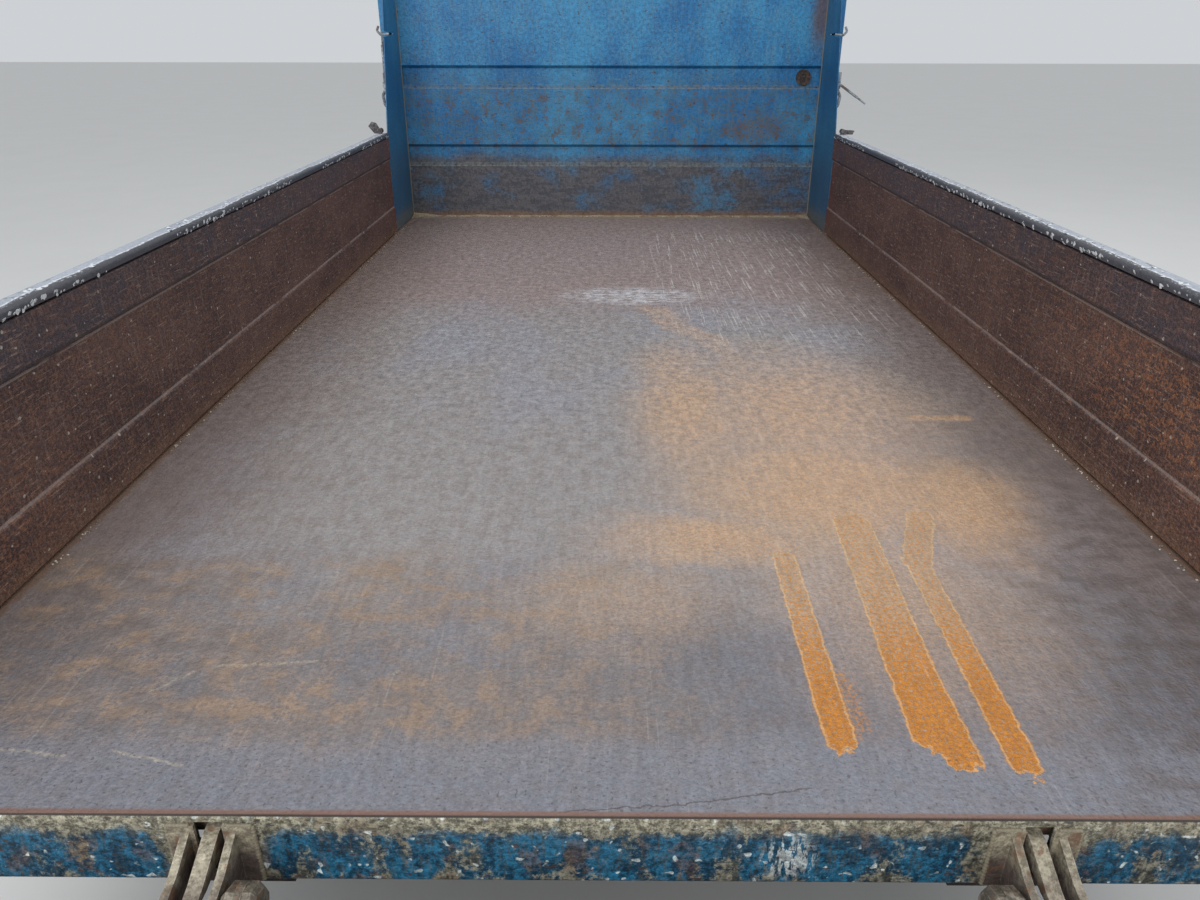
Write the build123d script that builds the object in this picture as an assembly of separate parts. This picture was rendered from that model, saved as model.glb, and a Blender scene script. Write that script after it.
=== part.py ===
from build123d import *
import os
from math import asin, cos, radians, sin, sqrt

# A tipping load bed with three gates, its subframe and its lifting ram.
# It is drawn in millimetres from the top of the floor's rear edge: x to the right, y towards the
# cab, z up. place() moves each piece so that the origin is the centre of the four chassis bolts.

# Load space
load_length = 3050.0
load_width = 1600.0
gate_height = 335.0
wall_height = 900.0
wing_reach = 327.0
wing_knee_height = 345.0
wing_slope = 0.27

# Sheet and section walls
floor_wall = 4.5
frame_wall = 4.5
panel_wall = 2.5
plate_wall = 8.0
rail_wall = 5.0
tube_wall = 4.0

# Depths of the stacked beams under the floor
crossmember_depth = 50.0
crossmember_flange = 40.0
crossmember_count = 8
crossmember_rear_inset = 90.0
crossmember_front_inset = 10.0
long_sill_depth = 100.0
long_sill_flange = 50.0
pad_depth = 12.0
subframe_depth = 100.0
subframe_flange = 50.0

# Gaps
moving_gap = 5.0
side_play = 2.0
pin_play = 0.08
seat_play = 0.05
cup_play = 0.4
seam = 0.3
relief = 0.5
overrun = 1.0

# Chassis interface
rail_outer = 400.0
bolt_spacing_y = 1900.0
bolt_centre_y = 1500.0
bolt_offset = 35.0
bolt_hole_radius = 7.5
bracket_length = 120.0
bracket_tab = 70.0
bracket_height = 86.0
bracket_edge = 5.0

# Rear sill and corner posts
sill_depth = 93.0
sill_flange = 48.0
side_sill_depth = 80.0
side_sill_flange = 50.0
floor_overhang = 26.0
corner_plate_width = 50.0
corner_plate_length = 300.0
corner_plate_wall = 3.0
post_width = 42.0
post_length = 48.0
post_corner = 6.0

# Gates
gate_thickness = 32.0
gate_floor_gap = 5.0
crease_low = 92.8
crease_high = 263.0
crease_depth = 4.0
crease_rise = 6.0
gate_rail_height = 18.0
gate_rail_width = 39.0
gate_rail_overhang = 3.0
gate_rail_foot = 9.0
gate_rail_lip = 5.0
gate_rail_round = 8.0
gate_rib_width = 44.0
gate_rib_count = 6
gate_rib_inset = 60.0

# Side gate hinges
side_pin_radius = 8.0
side_knuckle_radius = 12.0
side_pin_drop = 25.0
side_pin_offset = 43.0
side_hinge_count = 4
side_hinge_inset = 260.0
side_strap_width = 52.0
side_strap_wall = 6.0
side_strap_rise = 90.0
side_strap_gap = 3.0
side_lug_radius = 13.0
pin_end = 4.0

# Side gate latches, with the two handles' outlines as they stand: across from the gate's outer
# face and up from the rail's top
gate_latch_inset = 22.0
gate_latch_radius = 9.0
gate_latch_offset = 10.0
gate_latch_half = 14.0
gate_handle_half = 6.0
gate_handles = {
    "right": [(-17.0, 0.0), (24.0, 0.0), (30.0, 13.0), (-14.0, 16.0)],
    "left": [(-17.0, 0.0), (10.0, 0.0), (30.0, 25.0), (18.0, 39.0), (4.0, 35.0)],
}

# Tailgate hinge
lock_station = 400.0
tail_pin_radius = 10.0
tail_pin_y = -57.0
tail_pin_z = -66.0
tail_boss_radius = 28.0
tail_boss_width = 33.0
tail_boss_inset = 29.0
tail_boss_chamfer = 5.0
tail_lug_root = 12.0
tail_lug_depth = 8.0
tail_lug_top = 90.0
tail_lug_waist = 30.0
tail_gap = 5.0
tail_bottom = -8.0
tail_rib_inset = 49.0
tail_rib_inner = 207.0
tail_rib_outer = 162.0

# Tailgate's upper pins and their hooks on the posts
top_pin_drop = 22.0
top_pin_length = 26.0
top_pin_head = 6.0
top_pin_plate = 40.0
hook_reach = 20.0
hook_drop = 60.0
hook_rise = 26.0
hook_edge = 4.0
hook_flare = 8.0

# Tailgate lock
claw_wall = 15.0
claw_play = 1.0
claw_eye = 17.0
claw_nose = 26.0
claw_edge = 4.0
claw_hump_y = -3.0
claw_hump_z = -26.0
lock_shaft_radius = 11.0
lock_shaft_y = 28.0
lock_shaft_z = -38.0
lock_shaft_inset = 160.0
lock_slot_top = -12.5
lock_slot_bottom = -78.0
lock_slot_inner = 12.5
lock_slot_outer = 15.0
saddle_inner = 17.0
saddle_outer = 20.0
saddle_reach = 21.0
saddle_rise = 19.0
saddle_drop = 26.0
saddle_root = -22.0
doubler_wall = 3.0
doubler_half = 42.0
bearing_half = 4.0
bearing_offset = 45.0
bearing_station = 150.0
bearing_drop = 34.0
bearing_rise = 24.0

# Tipping hinge and ram
tip_pin_radius = 16.0
tip_hinge_y = 180.0
tip_hinge_z = -200.0
tip_boss_radius = 34.0
tip_head = 6.0
tip_hub_radius = 28.0
ear_wall = 10.0
ear_half = 60.0
ear_drop = 16.0
hinge_cheek_wall = 12.0
hinge_cheek_length = 200.0
hinge_rail_gap = 45.0
hinge_spacer_gap = 55.0
ram_reach = 1000.0
ram_half_rise = 60.0
ram_radii = (65.0, 56.0, 48.0, 40.0, 32.0)
ram_tube_wall = 6.5
ram_tube_length = 262.0
ram_collar_height = 10.0
ram_collar_step = 12.0
ram_collar_reach = 6.0
ram_play = 1.5
barrel_rise = 38.0
barrel_sump = 8.0
barrel_floor = 14.0
barrel_band = 10.0
barrel_band_half = 24.0
ball_radius = 26.0
ball_neck = 16.0
trunnion_radius = 15.0
trunnion_end = 8.0
port_radius = 16.0
port_bore = 8.3
port_length = 14.0
port_rise = 40.0
cup_radius = 40.0
cup_rim = 11.5
cup_cover = 4.0
lift_beam_half = 45.0

# Subframe's crossmembers, cradle and pads
subframe_inset = 10.0
subframe_first = 330.0
subframe_second = 800.0
subframe_after_ram = 720.0
subframe_front = 150.0
subframe_end = 100.0
cradle_half = 175.0
cradle_gap = 13.0
cradle_wall = 16.0
cradle_foot = 60.0
cradle_edge = 14.0
pad_count = 5
pad_half = 110.0
pad_first = 560.0
pad_front = 250.0

# Front wall pressings
groove_tops = (273.8, 560.6)
groove_height = 70.0
groove_depth = 18.0
groove_flank = 10.0
wall_flange = 30.0
plug_radius = 28.0
plug_inset = 61.0
plug_depth = 10.0
plug_hole = 9.0
plug_hole_x = 3.0
plug_hole_z = 7.0

# Front wall frame and wings
rib_width = 50.0
rib_depth = 26.0
rib_corner = 5.0
rib_count = 4
rib_inset = 180.0
top_rail_height = 40.0
top_rail_corner = 8.0
wing_wall = 3.2
wing_post_width = 60.0
wing_post_inset = 90.0
wing_post_depth = 28.0
notch_height = 674.0
notch_half = 10.5
notch_length = 158.0
notch_overrun = 30.0

# Wing latches
latch_inset = 22.0
latch_height = 506.0
wing_hook_radius = 4.0
latch_rod_radius = 5.0
clamp_half = 14.0
clamp_depth = 20.0
clamp_low = 10.0
clamp_high = 46.0
lever_length = 98.0
lever_width = 33.0
lever_wall = 6.0
lever_foot = 35.0
lever_swing = 33.0
handle_radius = 3.5
handle_length = 42.0

# Worked out from the sizes above
half_load = load_width / 2
under_crossmembers = -floor_wall - crossmember_depth
under_long_sills = under_crossmembers - long_sill_depth
rail_top = under_long_sills - pad_depth
chassis_top = rail_top - subframe_depth
sill_outer = rail_outer + side_play
floor_half = half_load + floor_overhang
gate_front = load_length - wing_reach
gate_rear = post_length + moving_gap
gate_outer = half_load + gate_thickness
side_axis_x = half_load + side_pin_offset
top_pin_y = -tail_gap - gate_thickness / 2
top_pin_z = gate_height - top_pin_drop
ram_y = tip_hinge_y + sqrt(ram_reach**2 - ram_half_rise**2)
trunnion_z = tip_hinge_z - ram_half_rise
ball_z = tip_hinge_z + ram_half_rise
wing_inner = half_load + relief + panel_wall
wing_outer = wing_inner + wing_wall
knee_y = gate_front + moving_gap
tail_half = half_load + side_play + post_width - moving_gap
boss_low = lock_station - tail_boss_inset - tail_boss_width
cradle_inner = ram_radii[0] + barrel_band + cradle_gap
cradle_outer = cradle_inner + cradle_wall

os.makedirs("parts", exist_ok=True)


def place(name, *solids):
    """Write solids as one named piece in the frame of the chassis bolts."""
    moved = [Pos(0, -bolt_centre_y, -chassis_top) * s for solid in solids for s in solid.solids()]
    export_step(Compound(children=moved) if len(moved) > 1 else moved[0], f"parts/{name}.step")


def both(solid):
    """A solid and its mirror image on the other side of the bed."""
    return [solid, mirror(solid, Plane.YZ)]


def along_x(face, x_from, x_to):
    """Extrude a face drawn in (y, z)."""
    return extrude(Plane.YZ.offset(x_from) * face, x_to - x_from)


def along_y(face, y_from, y_to):
    """Extrude a face drawn in (x, z)."""
    return extrude(Plane.XZ.offset(-y_from) * face, y_from - y_to)


def along_z(face, z_from, z_to):
    """Extrude a face drawn in (x, y)."""
    return extrude(Plane.XY.offset(z_from) * face, z_to - z_from)


def block(x_range, y_range, z_range):
    """A plain block between pairs of bounds."""
    lows = [min(r) for r in (x_range, y_range, z_range)]
    sizes = [abs(r[1] - r[0]) for r in (x_range, y_range, z_range)]
    return Pos(*lows) * Box(*sizes, align=Align.MIN)


def outline(points):
    return make_face(Polyline(*points, close=True))


def folded(path, wall, bend):
    """Section of sheet folded along a path, with its thickness on the path's left."""
    line = FilletPolyline(*path, radius=bend)
    return make_face(offset(line, amount=wall, side=Side.LEFT))


def channel(web, low, high, flange, wall):
    """Folded channel section: web line, bottom, top, and flange reach, signed for its side."""
    path = [(web + flange, low), (web, low), (web, high), (web + flange, high)]
    if flange > 0:
        path.reverse()
    return folded(path, wall, wall)


def rounded(points, bend):
    return make_face(FilletPolyline(*points, radius=bend, close=True))


def bent_rod(points, radius, bend):
    """Round bar bent through a list of points."""
    path = FilletPolyline(*points, radius=bend)
    return sweep(Plane(path @ 0, z_dir=path % 0) * Circle(radius), path=path)


def disc(u, v, radius):
    return Pos(u, v) * Circle(radius)


def rod_x(y, z, radius, x_from, x_to):
    return along_x(disc(y, z, radius), x_from, x_to)


def rod_y(x, z, radius, y_from, y_to):
    return along_y(disc(x, z, radius), y_from, y_to)


def rod_z(x, y, radius, z_from, z_to):
    return along_z(disc(x, y, radius), z_from, z_to)


def evenly(first, last, count):
    return [first + (last - first) * i / (count - 1) for i in range(count)]


def make_floor():
    front = load_length + post_length
    post_front = gate_rear - moving_gap
    plate = block((-floor_half, floor_half), (0, front), (-floor_wall, 0))
    for side in (-1, 1):
        plate -= block(
            (side * (half_load + side_play - relief), side * (floor_half + overrun)),
            (-overrun, post_front + relief),
            (-floor_wall - overrun, overrun),
        )
    corner_front = load_length - overrun
    corner = outline([(half_load - corner_plate_width, corner_front), (half_load, corner_front),
                      (half_load, load_length - corner_plate_length)])
    for one in both(along_z(corner, 0, corner_plate_wall)):
        plate += one
    place("floor_plate", plate)

    half = floor_half - side_sill_flange
    first, last = sill_flange + crossmember_rear_inset, load_length - crossmember_front_inset
    section = channel(0, under_crossmembers, -floor_wall, crossmember_flange, frame_wall)
    bar = along_x(section, -half, half)
    place("floor_crossmembers", *[Pos(0, y, 0) * bar for y in evenly(first, last, crossmember_count)])

    section = channel(sill_outer, under_long_sills, under_crossmembers, -long_sill_flange, frame_wall)
    place("bed_long_sills", *both(along_y(section, sill_flange, front)))

    section = channel(floor_half, -floor_wall - side_sill_depth, -floor_wall, -side_sill_flange, frame_wall)
    place("side_sills", *both(along_y(section, post_front, front)))


def lock_slot(y_from, y_to):
    """The opening that a claw's arm passes through, in the right half of the rear sill."""
    return block((lock_station - lock_slot_inner, lock_station + lock_slot_outer), (y_from, y_to),
                 (lock_slot_bottom, lock_slot_top))


def make_rear_frame():
    low_x = half_load + side_play
    section = channel(0, -sill_depth, -floor_wall, sill_flange, frame_wall)
    sill = along_x(section, -low_x, low_x)
    for slot in both(lock_slot(-overrun, frame_wall + overrun)):
        sill -= slot
    place("rear_sill", sill)

    centre = Pos(low_x + post_width / 2, post_length / 2)
    outer = centre * RectangleRounded(post_width, post_length, post_corner)
    inner = offset(outer, amount=-tube_wall)
    tube = along_z(outer, -sill_depth, gate_height) - along_z(inner, -sill_depth, gate_height - tube_wall)
    rear, front = top_pin_y - hook_reach, post_length - hook_edge
    hook = outline([
        (rear, top_pin_z - hook_reach), (front, top_pin_z - hook_drop), (front, top_pin_z + hook_edge),
        (top_pin_y + hook_reach, top_pin_z + hook_rise), (rear, top_pin_z + hook_rise),
    ])
    seat = tail_pin_radius + cup_play
    mouth = top_pin_y - 2 * hook_reach
    hook -= outline([(top_pin_y, top_pin_z - seat), (top_pin_y, top_pin_z + seat),
                     (mouth, top_pin_z + seat + hook_flare), (mouth, top_pin_z - seat)])
    hook -= disc(top_pin_y, top_pin_z, seat)
    hook_low = low_x + post_width
    place("rear_posts", *both(tube + along_x(hook, hook_low, hook_low + plate_wall)))


def wing_edge(height):
    """How far forward a wing's sloped rear edge is at this height."""
    return knee_y + wing_slope * (height - wing_knee_height)


def make_front():
    flange_height = wall_height - top_rail_height
    half_flank = groove_flank / 2
    points = [(load_length + wall_flange, flange_height), (load_length, flange_height)]
    for top in reversed(groove_tops):
        points += [
            (load_length, top + half_flank),
            (load_length + groove_depth, top - half_flank),
            (load_length + groove_depth, top - groove_height + half_flank),
            (load_length, top - groove_height - half_flank),
        ]
    points.append((load_length, 0))
    place("front_wall", along_x(folded(points, panel_wall, panel_wall), -wing_inner, wing_inner))

    front = load_length + post_length
    wing = outline([(knee_y, 0), (front, 0), (front, wall_height), (wing_edge(wall_height), wall_height),
                    (knee_y, wing_knee_height)])
    tip = wing_edge(notch_height) + notch_length
    mouth = wing_edge(notch_height) - notch_overrun
    half_mouth = notch_half * (tip - mouth) / notch_length
    wing -= outline([(mouth, notch_height - half_mouth), (tip, notch_height),
                     (mouth, notch_height + half_mouth)])
    place("wing_panels", *both(along_x(wing, wing_inner, wing_outer)))

    rib_face = load_length + groove_depth + panel_wall + seam
    rib = Pos(0, rib_face + rib_depth / 2) * RectangleRounded(rib_width, rib_depth, rib_corner)
    rib -= offset(rib, amount=-tube_wall)
    bar = along_z(rib, 0, flange_height - panel_wall)
    ribs = [Pos(x, 0, 0) * bar for x in evenly(rib_inset - half_load, half_load - rib_inset, rib_count)]
    top_rail = Pos(load_length + post_length / 2, wall_height - top_rail_height / 2)
    top_rail *= RectangleRounded(post_length, top_rail_height, top_rail_corner)
    top_rail -= offset(top_rail, amount=-tube_wall)

    web = wing_outer + wing_post_depth
    post_front = load_length - wing_post_inset
    post_rear = post_front - wing_post_width
    path = [(wing_outer, post_rear), (web, post_rear), (web, post_front), (wing_outer, post_front)]
    posts = both(along_z(folded(path, panel_wall, panel_wall), 0, wall_height))
    place("wall_stiffeners", *ribs, along_x(top_rail, -wing_inner, wing_inner), *posts)

    seat = load_length + groove_depth
    plug_z = groove_tops[-1] - groove_height / 2
    plug_x = half_load - plug_inset
    hole = Pos(plug_x - plug_hole_x, plug_z + plug_hole_z) * Rectangle(plug_hole, plug_hole)
    plug = along_y(disc(plug_x, plug_z, plug_radius), seat - plug_depth, seat)
    place("wall_plug", plug - along_y(hole, seat - plug_depth - overrun, seat - plug_depth / 3))


def make_wing_latches():
    """Hooks in the wing notches and the over-centre levers below them, left one up, right one down."""
    y = wing_edge(notch_height) + latch_inset
    face = wing_outer + seam
    hook = bent_rod([
        (wing_inner - 3 * wing_hook_radius, y, notch_height),
        (face + clamp_half, y, notch_height - 3),
        (face + clamp_half + 12, y, notch_height + 10),
        (face + clamp_half + 5, y, notch_height + 25),
    ], wing_hook_radius, 1.5 * wing_hook_radius)
    rod = bent_rod([
        (face + clamp_half - 6, y, latch_height),
        (face + clamp_half + 12, y, latch_height - 36),
        (face + clamp_half + 8, y, latch_height - 66),
        (face + wing_hook_radius, y, latch_height - 88),
    ], latch_rod_radius, 2.4 * latch_rod_radius)
    low = latch_height - clamp_low
    clamp_x, clamp_y = (face, face + clamp_depth), (y - clamp_half, y + clamp_half)
    middle = face + clamp_depth / 2

    lever_low = latch_height + lever_foot
    lever_high = lever_low + lever_length
    upright = rod + block(clamp_x, clamp_y, (low, latch_height + clamp_low))
    upright += block((face + 2, face + clamp_depth - 2), (y - clamp_half / 2, y + clamp_half / 2),
                     (latch_height, lever_low + lever_wall))
    upright += block((middle - lever_wall / 2, middle + lever_wall / 2),
                     (y - lever_width / 2, y + lever_width / 2), (lever_low, lever_high))
    upright += rod_z(middle, y, handle_radius, lever_high - lever_wall, lever_high + handle_length)

    down = Box(lever_length, lever_width, lever_wall, align=(Align.MIN, Align.CENTER, Align.CENTER))
    grip = Cylinder(handle_radius, handle_length, align=(Align.CENTER, Align.CENTER, Align.MIN))
    down += Pos(lever_length - handle_radius, 0, 0) * Rot(0, 90, 0) * grip
    down = Pos(face + lever_wall, y, latch_height + handle_length / 3) * Rot(0, lever_swing, 0) * down
    swung = rod + block(clamp_x, clamp_y, (low, latch_height + clamp_high)) + down
    place("wing_latches", hook, swung, *[mirror(solid, Plane.YZ) for solid in (hook, upright)])


def gate_section(inner, bottom, flip):
    """Folded gate skin: flat bands above and below a shallow pressed middle band."""
    outer = inner + flip * gate_thickness
    pressed = inner + flip * crease_depth
    path = [
        (outer, bottom), (inner, bottom), (inner, crease_low - crease_rise / 2),
        (pressed, crease_low + crease_rise / 2), (pressed, crease_high - crease_rise / 2),
        (inner, crease_high + crease_rise / 2), (inner, gate_height), (outer, gate_height),
    ]
    if flip > 0:
        path.reverse()
    return folded(path, panel_wall, panel_wall)


def rail_section(inner, flip):
    """Top rail rounded above, with a lip that overhangs the gate's inner skin."""
    u_low, u_high = inner - flip * gate_rail_overhang, inner + flip * (gate_rail_width - gate_rail_overhang)
    foot = inner + flip * gate_rail_foot
    top, lip = gate_height + gate_rail_height, gate_height + gate_rail_lip
    section = outline([(foot, gate_height), (u_high, gate_height), (u_high, top),
                       (u_low, top), (u_low, lip), (foot, lip)])
    return fillet(section.vertices().group_by(Axis.Y)[-1], gate_rail_round)


def rib_section(inner_face, outer_face, width):
    """Channel rib between a gate's skin and its outer face, drawn about zero along the gate."""
    half = width / 2
    path = [(inner_face, -half), (outer_face, -half), (outer_face, half), (inner_face, half)]
    return folded(path, panel_wall, panel_wall)


def side_gate():
    """The right side gate's pieces, shut."""
    skin = along_y(gate_section(half_load, gate_floor_gap, 1), gate_rear, gate_front)
    rail = along_y(rail_section(half_load, 1), gate_rear, gate_front)
    section = rib_section(half_load + crease_depth + panel_wall + seam, gate_outer, gate_rib_width)
    rib = along_z(section, gate_floor_gap + panel_wall, gate_height - panel_wall)
    places = evenly(gate_rear + gate_rib_inset, gate_front - gate_rib_inset, gate_rib_count)
    return skin, rail, [Pos(0, y, 0) * rib for y in places]


def side_hinges():
    return evenly(gate_rear + side_hinge_inset, gate_front - side_hinge_inset, side_hinge_count)


def make_side_gates():
    skin, rail, ribs = side_gate()
    half_strap = side_strap_width / 2
    axis = (side_axis_x, -side_pin_drop)
    strap = block((gate_outer, gate_outer + side_strap_wall), (-half_strap, half_strap),
                  (-side_pin_drop, side_strap_rise))
    knuckle = rod_y(*axis, side_knuckle_radius, -half_strap, half_strap)
    bore = rod_y(*axis, side_pin_radius + pin_play, -half_strap - overrun, half_strap + overrun)
    leaf = strap + knuckle - bore
    leaves = [Pos(0, y, 0) * leaf for y in side_hinges()]

    lug_low = half_strap + side_strap_gap
    lug_high = lug_low + plate_wall
    low, high = -side_pin_drop - side_lug_radius, -side_pin_drop + side_lug_radius
    cheek = outline([(floor_half, low), (side_axis_x, low), (side_axis_x, high), (floor_half, high)])
    cheek += disc(*axis, side_lug_radius)
    station = along_y(cheek, lug_low, lug_high) + along_y(cheek, -lug_high, -lug_low)
    station += rod_y(*axis, side_pin_radius, -lug_high - pin_end, lug_high + pin_end)
    stations = [Pos(0, y, 0) * station for y in side_hinges()]
    place("gate_hinge_lugs", *[s for one in stations for s in both(one)])

    latch_y = gate_front - gate_latch_inset
    rail_face = gate_height + gate_rail_height
    boss = rod_y(gate_outer - gate_latch_offset, rail_face + gate_latch_radius, gate_latch_radius,
                 latch_y - gate_latch_half, latch_y + gate_latch_half)
    for name, side in (("left", -1), ("right", 1)):
        handle = outline([(gate_outer + u, rail_face + v) for u, v in gate_handles[name]])
        latch = boss + along_y(handle, latch_y - gate_handle_half, latch_y + gate_handle_half) - rail
        for piece, solids in (("skin", [skin]), ("rail", [rail]), ("ribs", ribs), ("hinges", leaves),
                              ("latch", [latch])):
            turned = solids if side > 0 else [mirror(solid, Plane.YZ) for solid in solids]
            place(f"{name}_gate_{piece}", *turned)


def hang(solid):
    """Turn a piece of the shut tailgate down about its lower pins, as it hangs."""
    return solid.rotate(Axis((0, tail_pin_y, tail_pin_z), (1, 0, 0)), 180)


def make_tailgate():
    inner = -tail_gap
    outer = inner - gate_thickness
    skin = along_x(gate_section(inner, tail_bottom, -1), -tail_half, tail_half)
    rail = along_x(rail_section(inner, -1), -tail_half, tail_half)
    rib = rib_section(inner - crease_depth - panel_wall - seam, outer, gate_rib_width)
    ribs = []
    rib_length = gate_height - 2 * panel_wall - tail_bottom
    for x in (lock_station - tail_rib_inner, lock_station + tail_rib_outer, tail_half - tail_rib_inset):
        foot = Plane(origin=(x, 0, tail_bottom + panel_wall), x_dir=(0, 1, 0), z_dir=(0, 0, 1))
        ribs += both(extrude(foot * rib, rib_length))
    place("tailgate_skin", hang(skin))
    place("tailgate_rail", hang(rail))
    place("tailgate_ribs", *[hang(one) for one in ribs])

    bore = tail_pin_radius + seat_play
    root = outer + tail_lug_root
    lug = outline([
        (tail_pin_y - tail_boss_radius, tail_pin_z), (tail_pin_y + tail_boss_radius, tail_pin_z),
        (root, tail_bottom + tail_lug_root), (root, tail_lug_top), (outer - tail_lug_depth, tail_lug_top),
        (outer - 2 * tail_lug_depth, tail_lug_waist),
    ])
    lug += disc(tail_pin_y, tail_pin_z, tail_boss_radius)
    lug -= disc(tail_pin_y, tail_pin_z, bore)
    octagon = Pos(tail_pin_y, tail_pin_z) * RegularPolygon(tail_boss_radius, 8, major_radius=True)
    knuckle = along_x(octagon, 0, tail_boss_width)
    knuckle = chamfer(knuckle.edges().filter_by(Axis.X, reverse=True), tail_boss_chamfer)
    knuckle -= rod_x(tail_pin_y, tail_pin_z, bore, -overrun, tail_boss_width + overrun)
    web_low = boss_low + (tail_boss_width - plate_wall) / 2
    lug = along_x(lug, web_low, web_low + plate_wall) + Pos(boss_low, 0, 0) * knuckle - skin
    pin_high = lock_station + saddle_outer + plate_wall + pin_end
    place("tailgate_lugs", *[hang(one) for one in both(lug)])
    pin = rod_x(tail_pin_y, tail_pin_z, tail_pin_radius, boss_low - pin_end, pin_high)
    place("tailgate_pins", *both(pin))

    end = tail_half + seam
    stub = rod_x(top_pin_y, top_pin_z, tail_pin_radius, end, tail_half + top_pin_length)
    stub += rod_x(top_pin_y, top_pin_z, tail_pin_radius + top_pin_head,
                  tail_half + top_pin_length - top_pin_head, tail_half + top_pin_length)
    plate = block((tail_half - plate_wall, end), (outer, inner), (top_pin_z - top_pin_plate, gate_height))
    place("tailgate_top_pins", *[hang(one) for one in both(stub + (plate - skin - rail))])


def claw_arm():
    """Side view of a claw: its eye on the lock shaft, its arm, and its nose over the tailgate's pin."""
    hole = tail_pin_radius + claw_play
    throat = tail_pin_y - hole - 1.5
    nose = tail_pin_y - claw_nose
    arm = rounded([
        (lock_shaft_y + claw_edge, lock_shaft_z + claw_eye), (claw_hump_y, claw_hump_z),
        (tail_pin_y + hole, tail_pin_z + 2 * hole), (tail_pin_y - hole, tail_pin_z + claw_eye),
        (nose, tail_pin_z + claw_edge), (nose, tail_pin_z - tail_pin_radius),
        (throat, tail_pin_z - tail_pin_radius), (throat, tail_pin_z + claw_edge),
        (tail_pin_y, tail_pin_z + hole + overrun), (tail_pin_y + claw_eye, tail_pin_z + hole + overrun),
        (lock_shaft_y - 2 * claw_eye, lock_shaft_z - hole), (lock_shaft_y - hole, lock_shaft_z - claw_eye),
    ], 2)
    arm += disc(lock_shaft_y, lock_shaft_z, claw_eye)
    arm -= disc(lock_shaft_y, lock_shaft_z, lock_shaft_radius + seat_play)
    return arm - disc(tail_pin_y, tail_pin_z, hole)


def saddle_plate():
    """Side view of the plates that carry the tailgate's lower pin in an open-backed notch."""
    rear, low = tail_pin_y - saddle_reach, tail_pin_z - saddle_drop
    saddle = rounded([
        (0, saddle_root), (tail_pin_y + saddle_rise, tail_pin_z + saddle_drop),
        (tail_pin_y - saddle_rise / 2, tail_pin_z + saddle_rise), (rear, tail_pin_z + saddle_rise / 2),
        (rear, low + saddle_rise / 2), (rear + saddle_rise, low), (0, low),
    ], 3)
    notch = tail_pin_radius + cup_play
    saddle -= disc(tail_pin_y, tail_pin_z, notch)
    back = rear - overrun
    return saddle - outline([(tail_pin_y, tail_pin_z - notch), (back, tail_pin_z - notch),
                             (back, tail_pin_z + notch), (tail_pin_y, tail_pin_z + notch)])


def make_lock():
    shaft_half = half_load - lock_shaft_inset
    place("lock_shaft", rod_x(lock_shaft_y, lock_shaft_z, lock_shaft_radius, -shaft_half, shaft_half))
    claw = along_x(claw_arm(), lock_station - claw_wall / 2, lock_station + claw_wall / 2)
    place("lock_claws", *both(claw))

    plate = block((lock_station - doubler_half, lock_station + doubler_half), (-doubler_wall, 0),
                  (doubler_wall - sill_depth, lock_slot_top - doubler_wall))
    plate -= lock_slot(-doubler_wall - overrun, overrun)
    for low in (lock_station - saddle_inner - plate_wall, lock_station + saddle_outer):
        plate += along_x(saddle_plate(), low, low + plate_wall)
    low, high = lock_shaft_z - bearing_drop, lock_shaft_z + bearing_rise
    front = sill_flange - 2
    bearing = outline([(frame_wall, low), (front, low), (front, high), (frame_wall, high)])
    bearing -= disc(lock_shaft_y, lock_shaft_z, lock_shaft_radius + pin_play)
    bearings = []
    for x in (bearing_station, lock_station + bearing_offset):
        bearings += both(along_x(bearing, x - bearing_half, x + bearing_half))
    place("lock_brackets", *both(plate), *bearings)


def make_tip_hinge():
    axis = (tip_hinge_y, tip_hinge_z)
    ear_top = under_crossmembers - ear_drop
    rear, front = tip_hinge_y - tip_boss_radius, tip_hinge_y + tip_boss_radius
    ear = outline([(rear, tip_hinge_z), (front, tip_hinge_z),
                   (tip_hinge_y + ear_half, ear_top), (tip_hinge_y - ear_half, ear_top)])
    ear += disc(*axis, tip_boss_radius)
    ear -= disc(*axis, tip_pin_radius + pin_play)
    place("tip_ears", *both(along_x(ear, sill_outer, sill_outer + ear_wall)))

    rail_end = tip_hinge_y + hinge_rail_gap
    section = channel(rail_outer, chassis_top, rail_top, -subframe_flange, rail_wall)
    place("subframe_rails", *both(along_y(section, rail_end, load_length - subframe_end)))

    low, high = chassis_top + rail_wall, rail_top - rail_wall
    cheek_end = tip_hinge_y + hinge_cheek_length
    cheek = outline([
        (tip_hinge_y, tip_hinge_z - tip_boss_radius), (rail_end, low), (cheek_end, low),
        (cheek_end, high), (rail_end, high), (tip_hinge_y, tip_hinge_z + tip_boss_radius),
    ])
    cheek += disc(*axis, tip_boss_radius)
    cheek -= disc(*axis, tip_pin_radius + seat_play)
    web_inner = rail_outer - rail_wall
    inner_low = web_inner - hinge_cheek_wall
    inner = along_x(cheek, inner_low, web_inner)
    hub = disc(*axis, tip_hub_radius) - disc(*axis, tip_pin_radius + seat_play)
    inner += along_x(hub, web_inner, rail_outer)
    outer_low = sill_outer + ear_wall + side_play
    outer_high = outer_low + hinge_cheek_wall
    outer = along_x(cheek, outer_low, outer_high)
    outer += block((rail_outer, outer_low), (tip_hinge_y + hinge_spacer_gap, cheek_end), (low, high))
    place("tip_hinge_cheeks", *both(inner), *both(outer))

    head_low = outer_high + side_play
    pin = rod_x(*axis, tip_pin_radius, inner_low - side_play, head_low)
    pin += rod_x(*axis, tip_pin_radius + tip_head, head_low, head_low + tip_head)
    place("tip_hinge_pins", *both(pin))


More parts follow.
